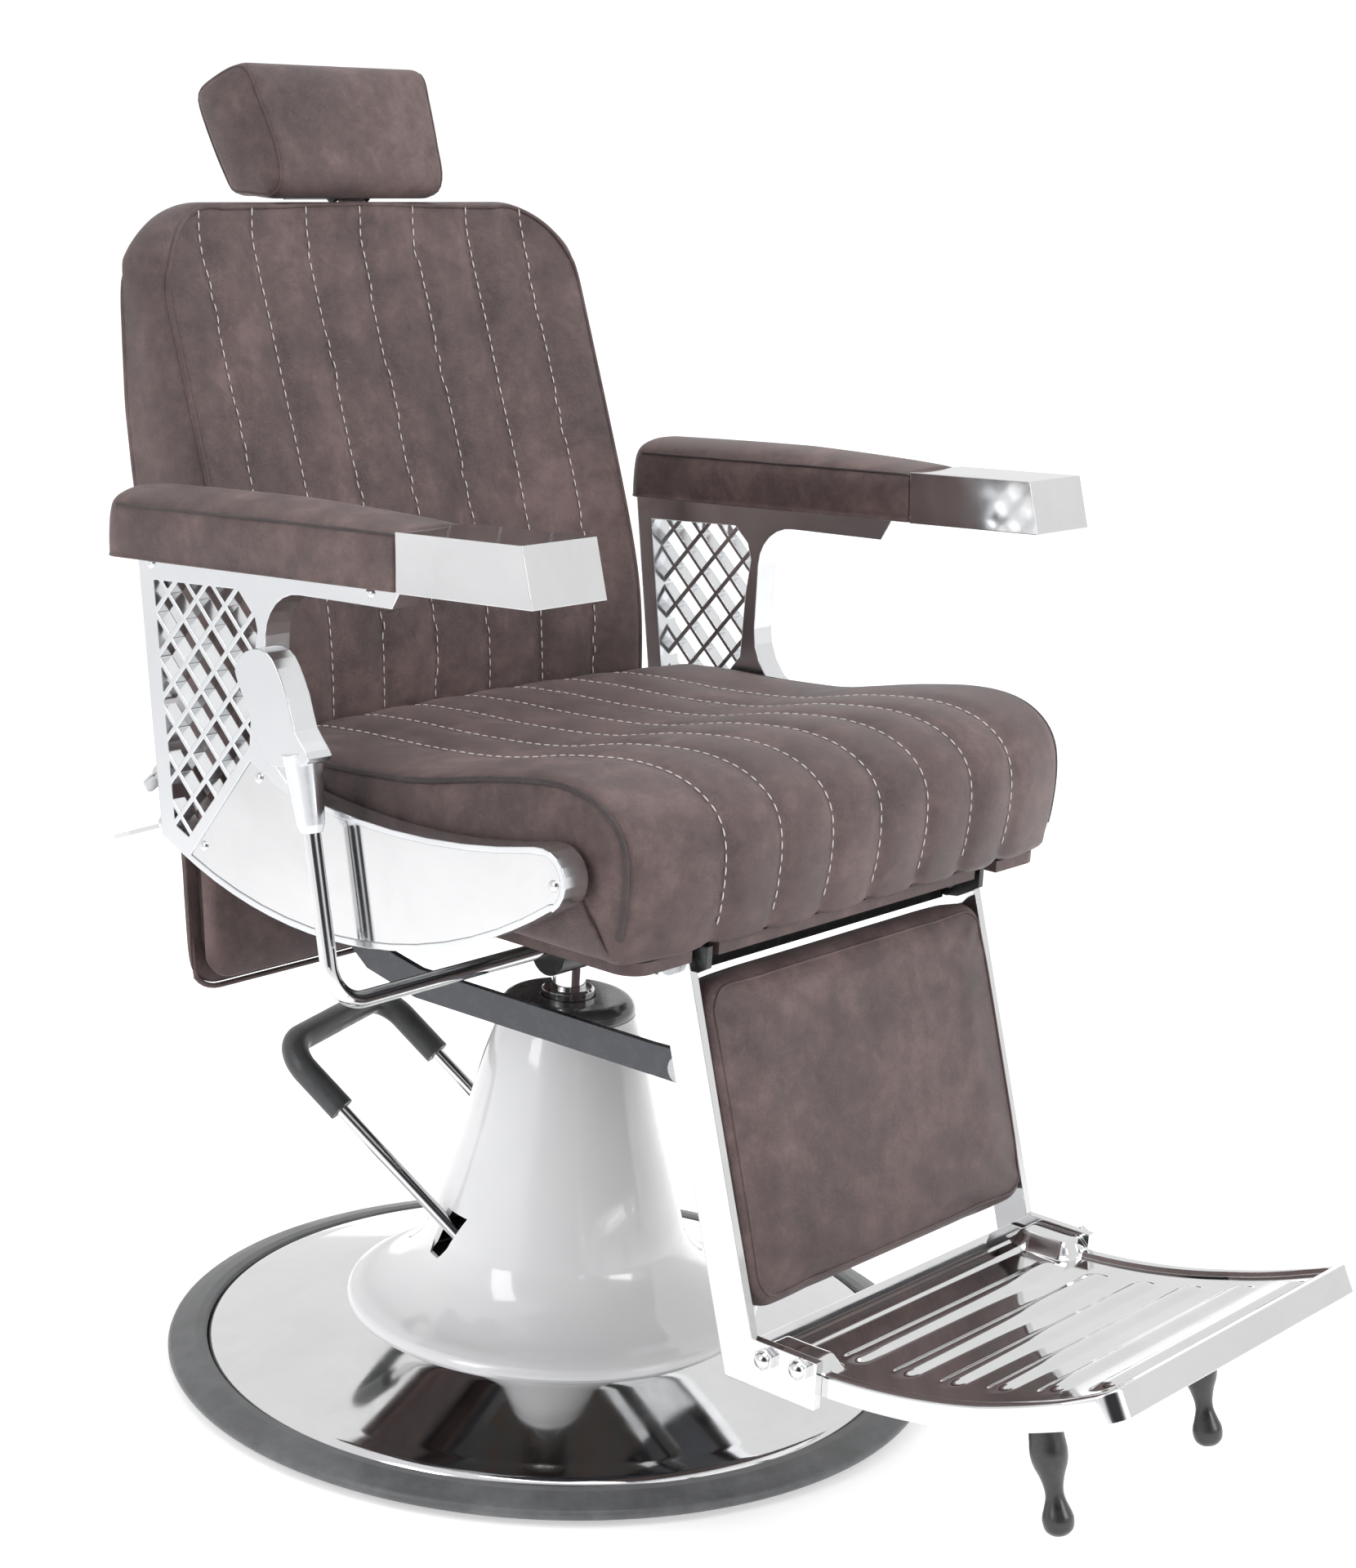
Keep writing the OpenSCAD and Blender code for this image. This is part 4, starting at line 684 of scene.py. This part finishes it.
seat_z = 486 * mm
on_seat = Matrix.Translation((0, 0, seat_z))
seat_half = 285 * mm
seat_pitch = 63 * mm
seat_line = mm * np.array([
    [148, 0], [0, 0], [-150, 0], [-300, 0], [-319, 16], [-326, 62], [-321, 96], [-303, 117],
    [-272, 130], [-226, 133], [-160, 124], [-85, 108], [0, 101], [90, 98], [150, 88], [156, 44]])
seat_places = spread(seat_pitch, seat_half, 9, 11)
seat_loop = evenly(closed_curve(seat_line, 8), 132)
seat_out = outward(seat_loop)
on_top = (seat_loop[:, 1] > 50 * mm) | (seat_loop[:, 0] < -300 * mm)
shallow, deeper = 3.4 * mm, 3.6 * mm
front_swell, rear_sweep = 22 * mm, 22 * mm


def seat_section(x):
    """The seat's section at x: channels on top and in front, and a front that swells at the sides."""
    u = abs(x) / seat_half
    depth = (shallow + deeper * np.clip((-seat_loop[:, 0] - 160 * mm) / (130 * mm), 0, 1)) * on_top
    pull = edge_in(seat_half - abs(x), 14 * mm) + channel(x, seat_pitch, 1) * depth
    section = seat_loop - seat_out * np.reshape(pull, (-1, 1))
    ahead = np.maximum(0, -seat_loop[:, 0] - 180 * mm) / (140 * mm)
    rear = np.maximum(0, seat_loop[:, 0] - 60 * mm) / (96 * mm)
    section[:, 0] += front_swell * u**4 * ahead - rear * rear_sweep * min(1, x / (255 * mm)) ** 2
    section[:, 1] = np.maximum(0, section[:, 1] - 3 * mm * u**4 * on_top)
    return section


seat = cushion("seat_cover", seat_places, seat_section, (134 * mm, 45 * mm), 42 * mm, 9, 3 * mm, on_seat)


def wander(s, k):
    """How far a hand-guided row of stitches strays at the distance s along it."""
    return 0.3 * mm * math.sin(s / (17 * mm) + 1.7 * k) + 0.15 * mm * math.sin(s / (4.3 * mm) + 2.9 * k)


def on_rows(p, pitch, rows=3):
    at = p[:, 0] / pitch
    return (np.abs(at - np.round(at)) < 0.01) & (np.abs(at) < rows + 0.5)


def beside(p, half, width=4 * mm):
    """Which points lie near the seam at either side."""
    return np.abs(np.abs(p[:, 0]) - half + 5 * mm) < width


def seat_held(p):
    return on_rows(p, seat_pitch) | beside(p, seat_half) | (p[:, 2] < seat_z + 4 * mm) | (p[:, 1] > 135 * mm)


swell(seat, seat_held, 2.2, 4 * mm)
upholster(seat, leather, "seat", "seat_cushion")

sewn_part = [i for i, (y, z) in enumerate(seat_loop) if on_top[i] and y < 140 * mm and z > 16 * mm]
seat_rows = []
for k in range(-3, 4):
    section = seat_section(k * seat_pitch)[sewn_part]
    seat_rows.append([(k * seat_pitch + wander(y, k), y, z + seat_z) for y, z in section])
seat_rows = lay_on(seat, seat_rows, 0.8 * mm)
run("seat_stitches", seat_rows, stitch_tree, {"Thread": thread.material}, "seat", None)
side_seams = []
for side in (-1, 1):
    section = seat_section(side * (seat_half - 4 * mm))[sewn_part]
    side_seams.append([(side * (seat_half - 2 * mm), y, z + seat_z) for y, z in section])
pipe("seat_piping", seat, side_seams, 0.8 * mm, 2.6 * mm, dark_leather, "seat")


# ---------- side frames ----------
# Each side is one casting, ground and polished: a post, an arm rail and a broad lower arm, with a
# lattice in the opening and a chromed plate screwed into the recess of the lower arm.

alloy = Finish("polished_castings", Metallic=1.0)
polish = alloy.noise(18, 4, 0.6).between(0.3, 0.75)
alloy.two_tone(polish, grey(0.82, 0.985), grey(0.76, 0.98), 0.14, 0.24)
alloy.relief(alloy.noise(28, 3), 0.0012, 0.16, edge=0.0016)
coat(alloy, "side_frame_right", "side_frame_left", "lever_grip")
coat(chrome, "side_plate_right", "side_plate_left", "side_plate_screws", "arm_screws")


# ---------- arms ----------
# A padded leather arm is screwed down on each rail. Its front end goes into a chromed box that
# closes the arm.

coat(chrome, "arm_cap_right", "arm_cap_left")

arm_rise = math.radians(3.7)
arm_w, arm_h = 79 * mm, 45 * mm
arm_rear_y, cap_rear_y, arm_z, arm_x = 200 * mm, -129 * mm, 239 * mm, 318 * mm
pad_l = (arm_rear_y - cap_rear_y) / math.cos(arm_rise) - 0.3 * mm


def arm_section(v):
    """The arm's section v behind its front end."""
    half = arm_w / 2
    loop = closed_curve([
        [-half + 3 * mm, 0], [0, 0], [half - 3 * mm, 0], [half, 5 * mm], [half + 1 * mm, 22 * mm],
        [half, arm_h - 7 * mm], [half - 5 * mm, arm_h], [half * 0.5, arm_h + 4 * mm],
        [0, arm_h + 5 * mm], [-half * 0.5, arm_h + 4 * mm], [5 * mm - half, arm_h],
        [-half, arm_h - 7 * mm], [-half - 1 * mm, 22 * mm], [-half, 5 * mm]], 5)
    k = 1 - edge_in(v, 12 * mm) / half
    rest = np.clip((pad_l - v) / (150 * mm), 0, 1) ** 0.6
    crown = np.maximum(0, loop[:, 1] - arm_h + 8 * mm) / (13 * mm) * 6 * mm * (rest * 1.6 - 0.6)
    crown = np.where(loop[:, 1] > arm_h - 8 * mm, crown, 0)
    return np.column_stack([loop[:, 0] * k, loop[:, 1] * (0.5 + k / 2) + crown * k])


def arm_held(p):
    front_y = arm_rear_y - pad_l * math.cos(arm_rise)
    rail = seat_z + arm_z + 8 * mm + (arm_rear_y - p[:, 1]) * math.tan(arm_rise)
    return (p[:, 1] < front_y + 12 * mm) | (p[:, 2] < rail)


for side, name in ((-1, "right"), (1, "left")):
    places = pad_l * (1 - (1 - np.linspace(0, 1, 46)) ** 1.15)
    sections = [arm_section(v) for v in places]
    rings = []
    for v, section in zip(places, sections):
        slope = (section[:, 1] - arm_h) * 0.12 * max(0, 1 - v / (30 * mm))
        rings.append(np.column_stack([section[:, 0], -v - slope, section[:, 1]]))
    first = rings[0]
    centre = np.array([0, 0, arm_h / 2])
    ends = [centre + (first - centre) * s + np.array([0, 2 * mm * (1 - s * s), 0])
            for s in (0.0, 0.35, 0.65, 0.85)]
    last = rings[-1]
    last_centre = np.array([0, last[0, 1], arm_h / 2])
    shut = [last_centre + (last - last_centre) * s for s in (0.6, 0.0)]
    place = Matrix.Translation((side * arm_x, arm_rear_y, arm_z + seat_z))
    place = place @ Matrix.Rotation(-arm_rise, 4, "X")
    arm = grid_mesh("arm_cover_" + name, np.array(ends + rings + shut), place)
    swell(arm, arm_held, 1.2, 3 * mm)
    upholster(arm, leather, "seat", "arm_pad_" + name)
    seams = []
    for edge in (-1, 1):
        drawn = [1 - float(edge_in(v, 12 * mm)) / (arm_w / 2) for v in places[2:]]
        seams.append([place @ Vector((edge * (arm_w / 2 - 2.2 * mm) * k, -v, arm_h - 2.5 * mm))
                      for k, v in zip(drawn, places[2:])])
    pipe("arm_seams_" + name, arm, seams, 0.2 * mm, 1.3 * mm, dark_leather, "seat")


# ---------- recline lever and lock ----------
# A chrome rod comes out from under the seat and bends up beside it, with a cast hand lever on its
# end. A wing screw and a thumb lever stand out of the right casting's rear edge.

coat(chrome, "lever_rod", "recline_rod", "back_wing_screw", "back_lock_paddle")


# ---------- backrest ----------
# A bowed plywood board carries a channelled front cushion, a domed panel behind, and a thin pad
# below the seat's height. Steel brackets bolt it to the pivots.

coat(zinc, "back_brackets")
coat(paint, "headrest_socket")

back_half, back_top, back_foot = 255 * mm, 509.5 * mm, 58 * mm
back_pitch = 65 * mm
front_y, bend_z, bend_length, wrap = 164 * mm, 159 * mm, 60 * mm, 22 * mm
back_lean = math.radians(20.5)
round_top, round_foot = 84 * mm, 34 * mm
board_z = mm * np.array([-136, -31, 114, 279, 339, 502])
board_y = mm * np.array([200, 212, 243, 282, 293, 308])


def board_rear(z):
    return np.interp(z, board_z, board_y)


def back_front(x, z):
    """Front of the backrest's cushion: upright below, leaning above, its sides forward of its middle."""
    d = z - bend_z
    leaned = math.tan(back_lean) * (d + np.sqrt(d * d + bend_length**2)) / 2
    return front_y + leaned - wrap * (x / back_half) ** 2


def corner(x, half, r):
    """How far a round corner of radius r has come down at x."""
    a = max(0.0, abs(x) - half + r)
    return r - math.sqrt(max(0.0, r * r - a * a))


def back_section(x):
    edge = 14 * mm
    pull = float(edge_in(back_half - abs(x), edge))
    top = back_top - corner(x, back_half + 10 * mm, round_top)
    roll = 13 * mm
    z = np.linspace(back_foot + 6 * mm, top - roll, 60)
    sink = channel(x, back_pitch, 8 * mm) * np.clip((top - 6 * mm - z) / (30 * mm), 0, 1) ** 0.5
    face = np.minimum(back_front(x, z) + pull, board_rear(z) - 19 * mm)
    front = np.column_stack([face + np.minimum(sink, np.maximum(0, board_rear(z) - 17 * mm - face)), z])
    a = angles(12, 90, 8)
    start = face[-1]
    over = np.column_stack([start + (board_rear(top) - 9 * mm - start) * (1 - np.cos(a)) * 0.9,
                            top - roll + roll * np.sin(a)])
    z = np.linspace(top - 2 * mm, back_foot, 50)
    shut = np.clip((back_half - 10 * mm - abs(x)) / (3 * mm), 0, 1)
    shut = shut * np.clip((top - 10 * mm - z) / (4 * mm), 0, 1)
    rear = np.column_stack([board_rear(z) + 2.2 * mm * (1 - shut) - 10.4 * mm * shut, z])
    low = np.array([[back_front(x, back_foot) + pull + 16 * mm, back_foot - 1 * mm]])
    return evenly(np.vstack([front, over, rear, low]), 136)


back_places = spread(back_pitch, back_half, 9, 8)
back_cushion = cushion("back_cover_front", back_places, back_section,
                       (280 * mm, 430 * mm), 30 * mm, 8, 3 * mm, on_seat)


def back_held(p):
    z = p[:, 2] - seat_z
    tacked = p[:, 1] > board_rear(z) - 18 * mm
    return on_rows(p, back_pitch) | tacked | beside(p, back_half) | (z < back_foot + 8 * mm)


swell(back_cushion, back_held, 2.2, 4 * mm)
upholster(back_cushion, leather, "back", "back_cushion")
back_rows = []
for k in range(-3, 4):
    x = k * back_pitch
    top = back_top - corner(x, back_half + 10 * mm, round_top)
    heights = np.linspace(back_foot + 10 * mm, top - 8 * mm, 110)
    back_rows.append([(x + wander(z, k), back_front(x, z), z + seat_z) for z in heights])
run("back_stitches", lay_on(back_cushion, back_rows, 0.8 * mm), stitch_tree,
    {"Thread": thread.material}, "back", None)
rim_x, along_top = back_half - 4 * mm, 34
line = [(-rim_x, float(back_front(rim_x, z)) + 4 * mm, z + seat_z)
        for z in np.linspace(back_foot + 6 * mm, back_top - round_top, 50)]
for a in angles(176, 90, 16):
    x = 80 * mm - back_half + 76 * mm * math.cos(a)
    z = back_top - round_top + 79 * mm * math.sin(a)
    line.append((x, float(back_front(x, z)) + 4 * mm, z + seat_z))
line += [(x, float(back_front(x, back_top)), back_top - 5 * mm + seat_z)
         for x in np.linspace(-165, 165, along_top) * mm]
line += [(-x, y, z) for x, y, z in line[:-along_top][::-1]]
pipe("back_piping", back_cushion, [line], 0.4 * mm, 2.2 * mm, leather, "back")


# Rear panel: a thin padded shell, fullest in the middle, tacked round the board's edge.

panel_foot = -146 * mm


def rear_section(x):
    drop, lift = corner(x, back_half + 4 * mm, round_top), corner(x, back_half + 4 * mm, round_foot)
    z0, z1 = panel_foot + lift, back_top - 2 * mm - drop
    z = np.linspace(z0, z1, 60)
    t = np.linspace(-1, 1, 60)
    full = 5 * mm + 18 * mm * (1 - (abs(x) / back_half) ** 4)
    front = np.column_stack([board_rear(z) + 1.0 * mm, z])
    rear = np.column_stack([board_rear(z) + 2.5 * mm + full * np.sqrt(np.maximum(0, 1 - t**6)), z])[::-1]
    return evenly(np.vstack([front, rear]), 130)


rear_places = back_half * np.sin(angles(-88, 88, 44))
rear_panel = cushion("back_cover_rear", rear_places, rear_section,
                     (305 * mm, 430 * mm), 3 * mm, 3, 0.5 * mm, on_seat)
swell(rear_panel, lambda p: p[:, 1] < board_rear(p[:, 2] - seat_z) + 6 * mm, 1.0, 3 * mm)
upholster(rear_panel, leather, "back", "back_cover")
edge_line = back_half * 0.985 * np.sin(angles(-90, 90, 60))
outline = [(x, back_top - 4 * mm - corner(x, back_half + 4 * mm, round_top)) for x in edge_line]
outline += [(x, panel_foot + corner(x, back_half + 4 * mm, round_foot)) for x in edge_line[::-1]]
welt = [(x, float(board_rear(z)) + 1 * mm, z + seat_z) for x, z in outline]
run("back_welt", [welt], bead_tree, {"Radius": 2.4 * mm, "Cover": leather.material},
    "back", "brown_leather", closed=True)


# Lower pad: thin foam on the board's front, cut out for the brackets.

skirt_half = 249 * mm


def skirt_section(x):
    lift = corner(x, skirt_half + 2 * mm, 30 * mm)
    pull = float(edge_in(skirt_half - abs(x), 9 * mm))
    z = np.linspace(-137 * mm + lift, 50 * mm, 40)
    t = np.linspace(-1, 1, 40)
    front = np.column_stack([board_rear(z) - 11 * mm - (11 * mm - pull) * np.maximum(0.05, 1 - t**8), z])
    rear = np.column_stack([board_rear(z) - 10.4 * mm, z])[::-1]
    return evenly(np.vstack([front, rear]), 90)


skirt_places = skirt_half * np.sin(angles(-88, 88, 40))
skirt = cushion("back_lower_pad", skirt_places, skirt_section,
                (210 * mm, 50 * mm), 3 * mm, 3, 0.4 * mm, on_seat)
upholster(skirt, leather, "back", "back_skirt")


# ---------- headrest ----------
# A firm block of foam under leather, with a panel sewn in at each end, on a steel bracket that
# tilts on the chromed stem.

coat(chrome, "headrest_stem")
coat(paint, "headrest_bracket")

head_b, head_half = 49 * mm, 105 * mm
head_loop = evenly(closed_curve(mm * np.array([
    [28, -47], [14, -54], [0, -62], [-14, -68], [-27, -66], [-36, -54], [-40.5, -32], [-42.5, -8],
    [-43.5, 16], [-44, 34], [-39, 45], [-27, 50], [-6, 52], [18, 51], [29, 43], [33, 22], [35, -10],
    [34, -36]]), 6), 90)
head_out = outward(head_loop)
flare = 0.06


def flared(z):
    """How much wider the headrest is at the height z than in its middle."""
    return 1 + flare * np.clip(z / head_b, -0.6, 1)


head_places = spread(70 * mm, head_half, 7, 12, 1)
head_sections = [head_loop - head_out * float(edge_in(head_half - abs(x), 12 * mm)) for x in head_places]
head_rings = with_ends(head_places, head_sections, (4 * mm, head_b), 30 * mm, 7, 3 * mm)
head_rings[:, :, 0] *= flared(head_rings[:, :, 2])
head_y, head_z, head_lean = 341 * mm, 566 * mm, math.radians(-28)
head_place = Matrix.Translation((0, head_y, head_z + seat_z)) @ Matrix.Rotation(head_lean, 4, "X")
head = grid_mesh("headrest_cover", head_rings, head_place)


def head_held(p):
    q = moved(p, head_place.inverted())
    return (q[:, 2] < 4 * mm - head_b) | beside(q, head_half * flared(q[:, 2]), 2.5 * mm)


swell(head, head_held, 1.6, 4 * mm)
upholster(head, leather, "headrest", "headrest_cushion")
head_seams = [[head_place @ Vector((side * (head_half - 4 * mm) * float(flared(z)), y, z))
               for y, z in head_loop - head_out * 3 * mm] for side in (-1, 1)]
pipe("headrest_seams", head, head_seams, 0.3 * mm, 1.1 * mm, leather, "headrest", closed=True)


# ---------- leg rest ----------
# Two flat chromed bars swing on the frame under the seat. They carry a padded panel, and at
# their feet a cast, ribbed footplate on acorn-headed bolts, with turned black feet under its toe.

coat(chrome, "leg_bar_right", "leg_bar_left", "footplate_bolts")
coat(zinc, "link_bracket")

tread_heel, tread_toe, bend_y, bend_r = -356 * mm, -679 * mm, -402 * mm, 600 * mm
plate_z, plate_wall = seat_z - 306.5 * mm, 7 * mm
edge_y = mm * np.array([-679, -640, -573, -490, -440, -356])
edge_x = mm * np.array([173, 182, 187, 184.5, 183.6, 183.6])
ridge_y = mm * np.array([-430, -476, -519, -561, -605, -648])
toe_r, border, skin, lip_r = 12 * mm, 10 * mm, 3 * mm, 2 * mm
recess, step_down, ridge_h, bead_h = 1.6 * mm, 2.0 * mm, 3.4 * mm, 9.0 * mm
ridge_half, ridge_w, bolt_x, bolt_y = 132 * mm, 10 * mm, 161 * mm, -404.5 * mm


def smooth(v):
    v = np.clip(v, 0, 1)
    return v * v * (3 - 2 * v)


def tread_height(x, y, inside, to_toe):
    """Height of the tread over the plate's plain curve: recess, ridges and the beads over the bolts."""
    field = smooth((inside - border) / (2.5 * mm)) * smooth((to_toe - 11 * mm) / (3 * mm))
    first, second = smooth((-378 * mm - y) / (2 * mm)), smooth((-391 * mm - y) / (2.5 * mm))
    height = -field * (recess * first + step_down * second)
    for ridge in ridge_y:
        off = np.hypot(np.maximum(0, np.abs(x) - ridge_half), y - ridge)
        height = height + ridge_h * smooth(1.25 - off / ridge_w)
    off = np.hypot(np.maximum(0, bolt_x - np.abs(x)), np.maximum(0, np.abs(y - bolt_y) - 20.6 * mm))
    bead = smooth(1 - off / (12 * mm))
    return height * (1 - bead) + bead_h * bead


def tread_section(y):
    to_toe, to_heel = y - tread_toe, tread_heel - y
    wide = float(np.interp(y, edge_y, edge_x)) - corner(toe_r - to_toe, toe_r, toe_r) * (to_toe < toe_r)
    steps = [0, 0.25, 0.8, 2.0, 5, 9, 10.2, 11.2, 12.4, 14.5]
    steps = np.concatenate([steps, np.linspace(18, 1000 * wide, 62)]) * mm
    x = np.concatenate([steps - wide, (wide - steps)[-2::-1]])
    inside = wide - np.abs(x)
    top = tread_height(x, y, inside, to_toe)
    top -= lip_r - np.sqrt(lip_r**2 - (lip_r - np.minimum(inside, lip_r)) ** 2)
    top -= lip_r - math.sqrt(lip_r**2 - (lip_r - min(to_toe, to_heel, lip_r)) ** 2)
    deep = -float(np.interp(y, mm * np.array([-679, -560, -356]), mm * np.array([22, 19, 16])))
    ceiling = deep if min(to_toe, to_heel) < skin else -plate_wall
    rim = [[wide, deep], [wide - skin, deep], [wide - skin, ceiling],
           [skin - wide, ceiling], [skin - wide, deep], [-wide, deep]]
    loop = np.vstack([np.column_stack([x, top]), rim])
    dy = min(0.0, y - bend_y)
    lean = math.asin(-dy / bend_r)
    plain_z = plate_z + bend_r - math.sqrt(bend_r**2 - dy**2)
    x, up = loop.T
    return np.column_stack([x, y + up * math.sin(lean), plain_z + up * math.cos(lean)])


def shrunk(ring, share):
    """A ring that shrinks towards its middle, to close an end."""
    middle = ring.mean(axis=0) * [0, 1, 1]
    return middle + (ring - middle) * share


near_edge = np.array([0, 0.25, 0.8, 2.0, 2.98, 3.02, 5.5, 8, 10.5, 12.5, 14.5]) * mm
tread_places = np.concatenate([
    tread_heel - near_edge[:6], np.linspace(tread_heel - 6 * mm, tread_toe + 18 * mm, 150),
    (tread_toe + near_edge)[::-1]])
tread_rings = [tread_section(y) for y in tread_places]
heel_end = [shrunk(tread_rings[0], k) for k in (0, 0.5)]
toe_end = [shrunk(tread_rings[-1], k) for k in (0.5, 0)]
tread_rings = heel_end + tread_rings + toe_end
tread = grid_mesh("tread_plate", np.array(tread_rings))
tread.data.set_sharp_from_angle(angle=math.radians(50))
tread.data.materials.append(chrome.material)
stands_for(tread, "leg_rest", "polished_chrome", "footplate")

# Two turned feet are screwed up into the plate: each has a shoulder, a waist and a drop-shaped end.

turned = Finish("turned_black", Coat_Weight=0.3, Coat_Roughness=0.15)
handled = turned.noise(60, 5, 0.6).between(0.45, 0.75)
turned.two_tone(handled, grey(0.018), grey(0.045), 0.3, 0.5)
turned.relief(turned.noise(220, 3, 0.6, 0, (1, 1, 3)), 0.0004, 0.3)
foot_line = np.array([
    [0, -1], [10, -1], [11, 1], [12, 15], [12.6, 30], [13.6, 42], [14.4, 52], [13, 61], [9.6, 70],
    [7.4, 79], [7.3, 86], [9.2, 93], [11.6, 100], [12, 105], [10.5, 111], [6, 115], [0, 115.8]], float)
foot_line = np.vstack([open_curve(foot_line, 5), foot_line[-1:]]) * mm
foot_line[:, 0] = np.maximum(0, foot_line[:, 0])
foot_x, foot_y, foot_turn = 108 * mm, -578 * mm, math.radians(165)
foot_z = plate_z + bend_r - math.sqrt((bend_r + plate_wall) ** 2 - (foot_y - bend_y) ** 2)
for side, name, stood_for in ((-1, "right", ()), (1, "left", ("foot_spindles",))):
    stand = Matrix.Translation((side * foot_x, foot_y, foot_z)) @ Matrix.Rotation(foot_turn, 4, "X")
    drop_foot = spun("turned_foot_" + name, foot_line, turned, 48, stand)
    stands_for(drop_foot, "leg_rest", "black_paint", *stood_for)

# The pad is foam and leather on a board that is screwed to both bars.

leg_lean = math.radians(16.5)
leg_half = 183.7 * mm
leg_top, leg_foot, leg_front, leg_rear = -18 * mm, -276 * mm, -21 * mm, 8 * mm
leg_place = Matrix.Translation((0, -273 * mm, -18 * mm + seat_z)) @ Matrix.Rotation(-leg_lean, 4, "X")


def leg_section(x):
    pull = float(edge_in(leg_half - abs(x), 12 * mm)) * 0.8
    k = 1 - 2 * corner(x, leg_half + 1 * mm, 24 * mm) / (leg_top - leg_foot)
    mid, r = (leg_top + leg_foot) / 2, 10 * mm
    a = angles(-90, -180, 8)
    low = np.column_stack([leg_front + r + r * np.cos(a), leg_foot + r + r * np.sin(a)])
    z = np.linspace(leg_foot + 14 * mm, leg_top - 14 * mm, 40)
    face = np.column_stack([leg_front - 3 * mm * (1 - ((z - mid) / (leg_top - mid)) ** 4), z])
    high = np.column_stack([low[:, 0], 2 * mid - low[:, 1]])[::-1]
    loop = np.vstack([[[leg_rear, leg_foot]], low, face, high, [[leg_rear, leg_top]], [[leg_rear, mid]]])
    loop = evenly(loop, 110)
    loop = loop - outward(loop) * pull
    loop[:, 0] = np.minimum(loop[:, 0], leg_rear)
    loop[:, 1] = mid + (loop[:, 1] - mid) * k
    return loop


leg_places = spread(60 * mm, leg_half, 5, 12, 2)
leg = cushion("leg_cover", leg_places, leg_section,
              (-5 * mm, leg_top - 12 * mm), 10 * mm, 5, 0.2 * mm, leg_place)


def leg_held(p):
    q = moved(p, leg_place.inverted())
    return (q[:, 1] > leg_rear - 3 * mm) | (np.abs(q[:, 0]) > leg_half - 6 * mm)


swell(leg, leg_held, 1.6, 4 * mm)
upholster(leg, leather, "leg_rest", "leg_pad")
inset, bend = 7 * mm, 20 * mm
across_to, up_to = leg_half - inset - bend, (leg_top - leg_foot) / 2 - inset - bend
path = []
for cx, cz, a0 in ((1, 1, 0), (-1, 1, 90), (-1, -1, 180), (1, -1, 270)):
    for a in angles(a0, a0 + 90, 8):
        up = (leg_top + leg_foot) / 2 + cz * up_to + bend * math.sin(a)
        path.append(leg_place @ Vector((cx * across_to + bend * math.cos(a), leg_front, up)))
closed_path = []
for p, q in zip(path, path[1:] + path[:1]):
    n = max(1, int((q - p).length / (12 * mm)))
    closed_path += [p.lerp(q, i / n) for i in range(n)]
pipe("leg_seam", leg, [closed_path], 0.2 * mm, 1.2 * mm, leather, "leg_rest", closed=True)


# ---------- linkage ----------
# A flat steel link, painted dark blue-grey, joins the back's bracket to the leg rest, so that the
# legs rise as the back goes down.

link_paint = Finish("link_paint", Coat_Weight=0.3, Coat_Roughness=0.15)
chip = link_paint.noise(70, 5, 0.6).between(0.5, 0.8)
link_paint.two_tone(chip, (0.040, 0.043, 0.055, 1), (0.075, 0.078, 0.092, 1), 0.24, 0.42)
link_paint.relief(link_paint.noise(400, 2), 0.0003, 0.3, edge=0.001)
coat(link_paint, "link_bar")
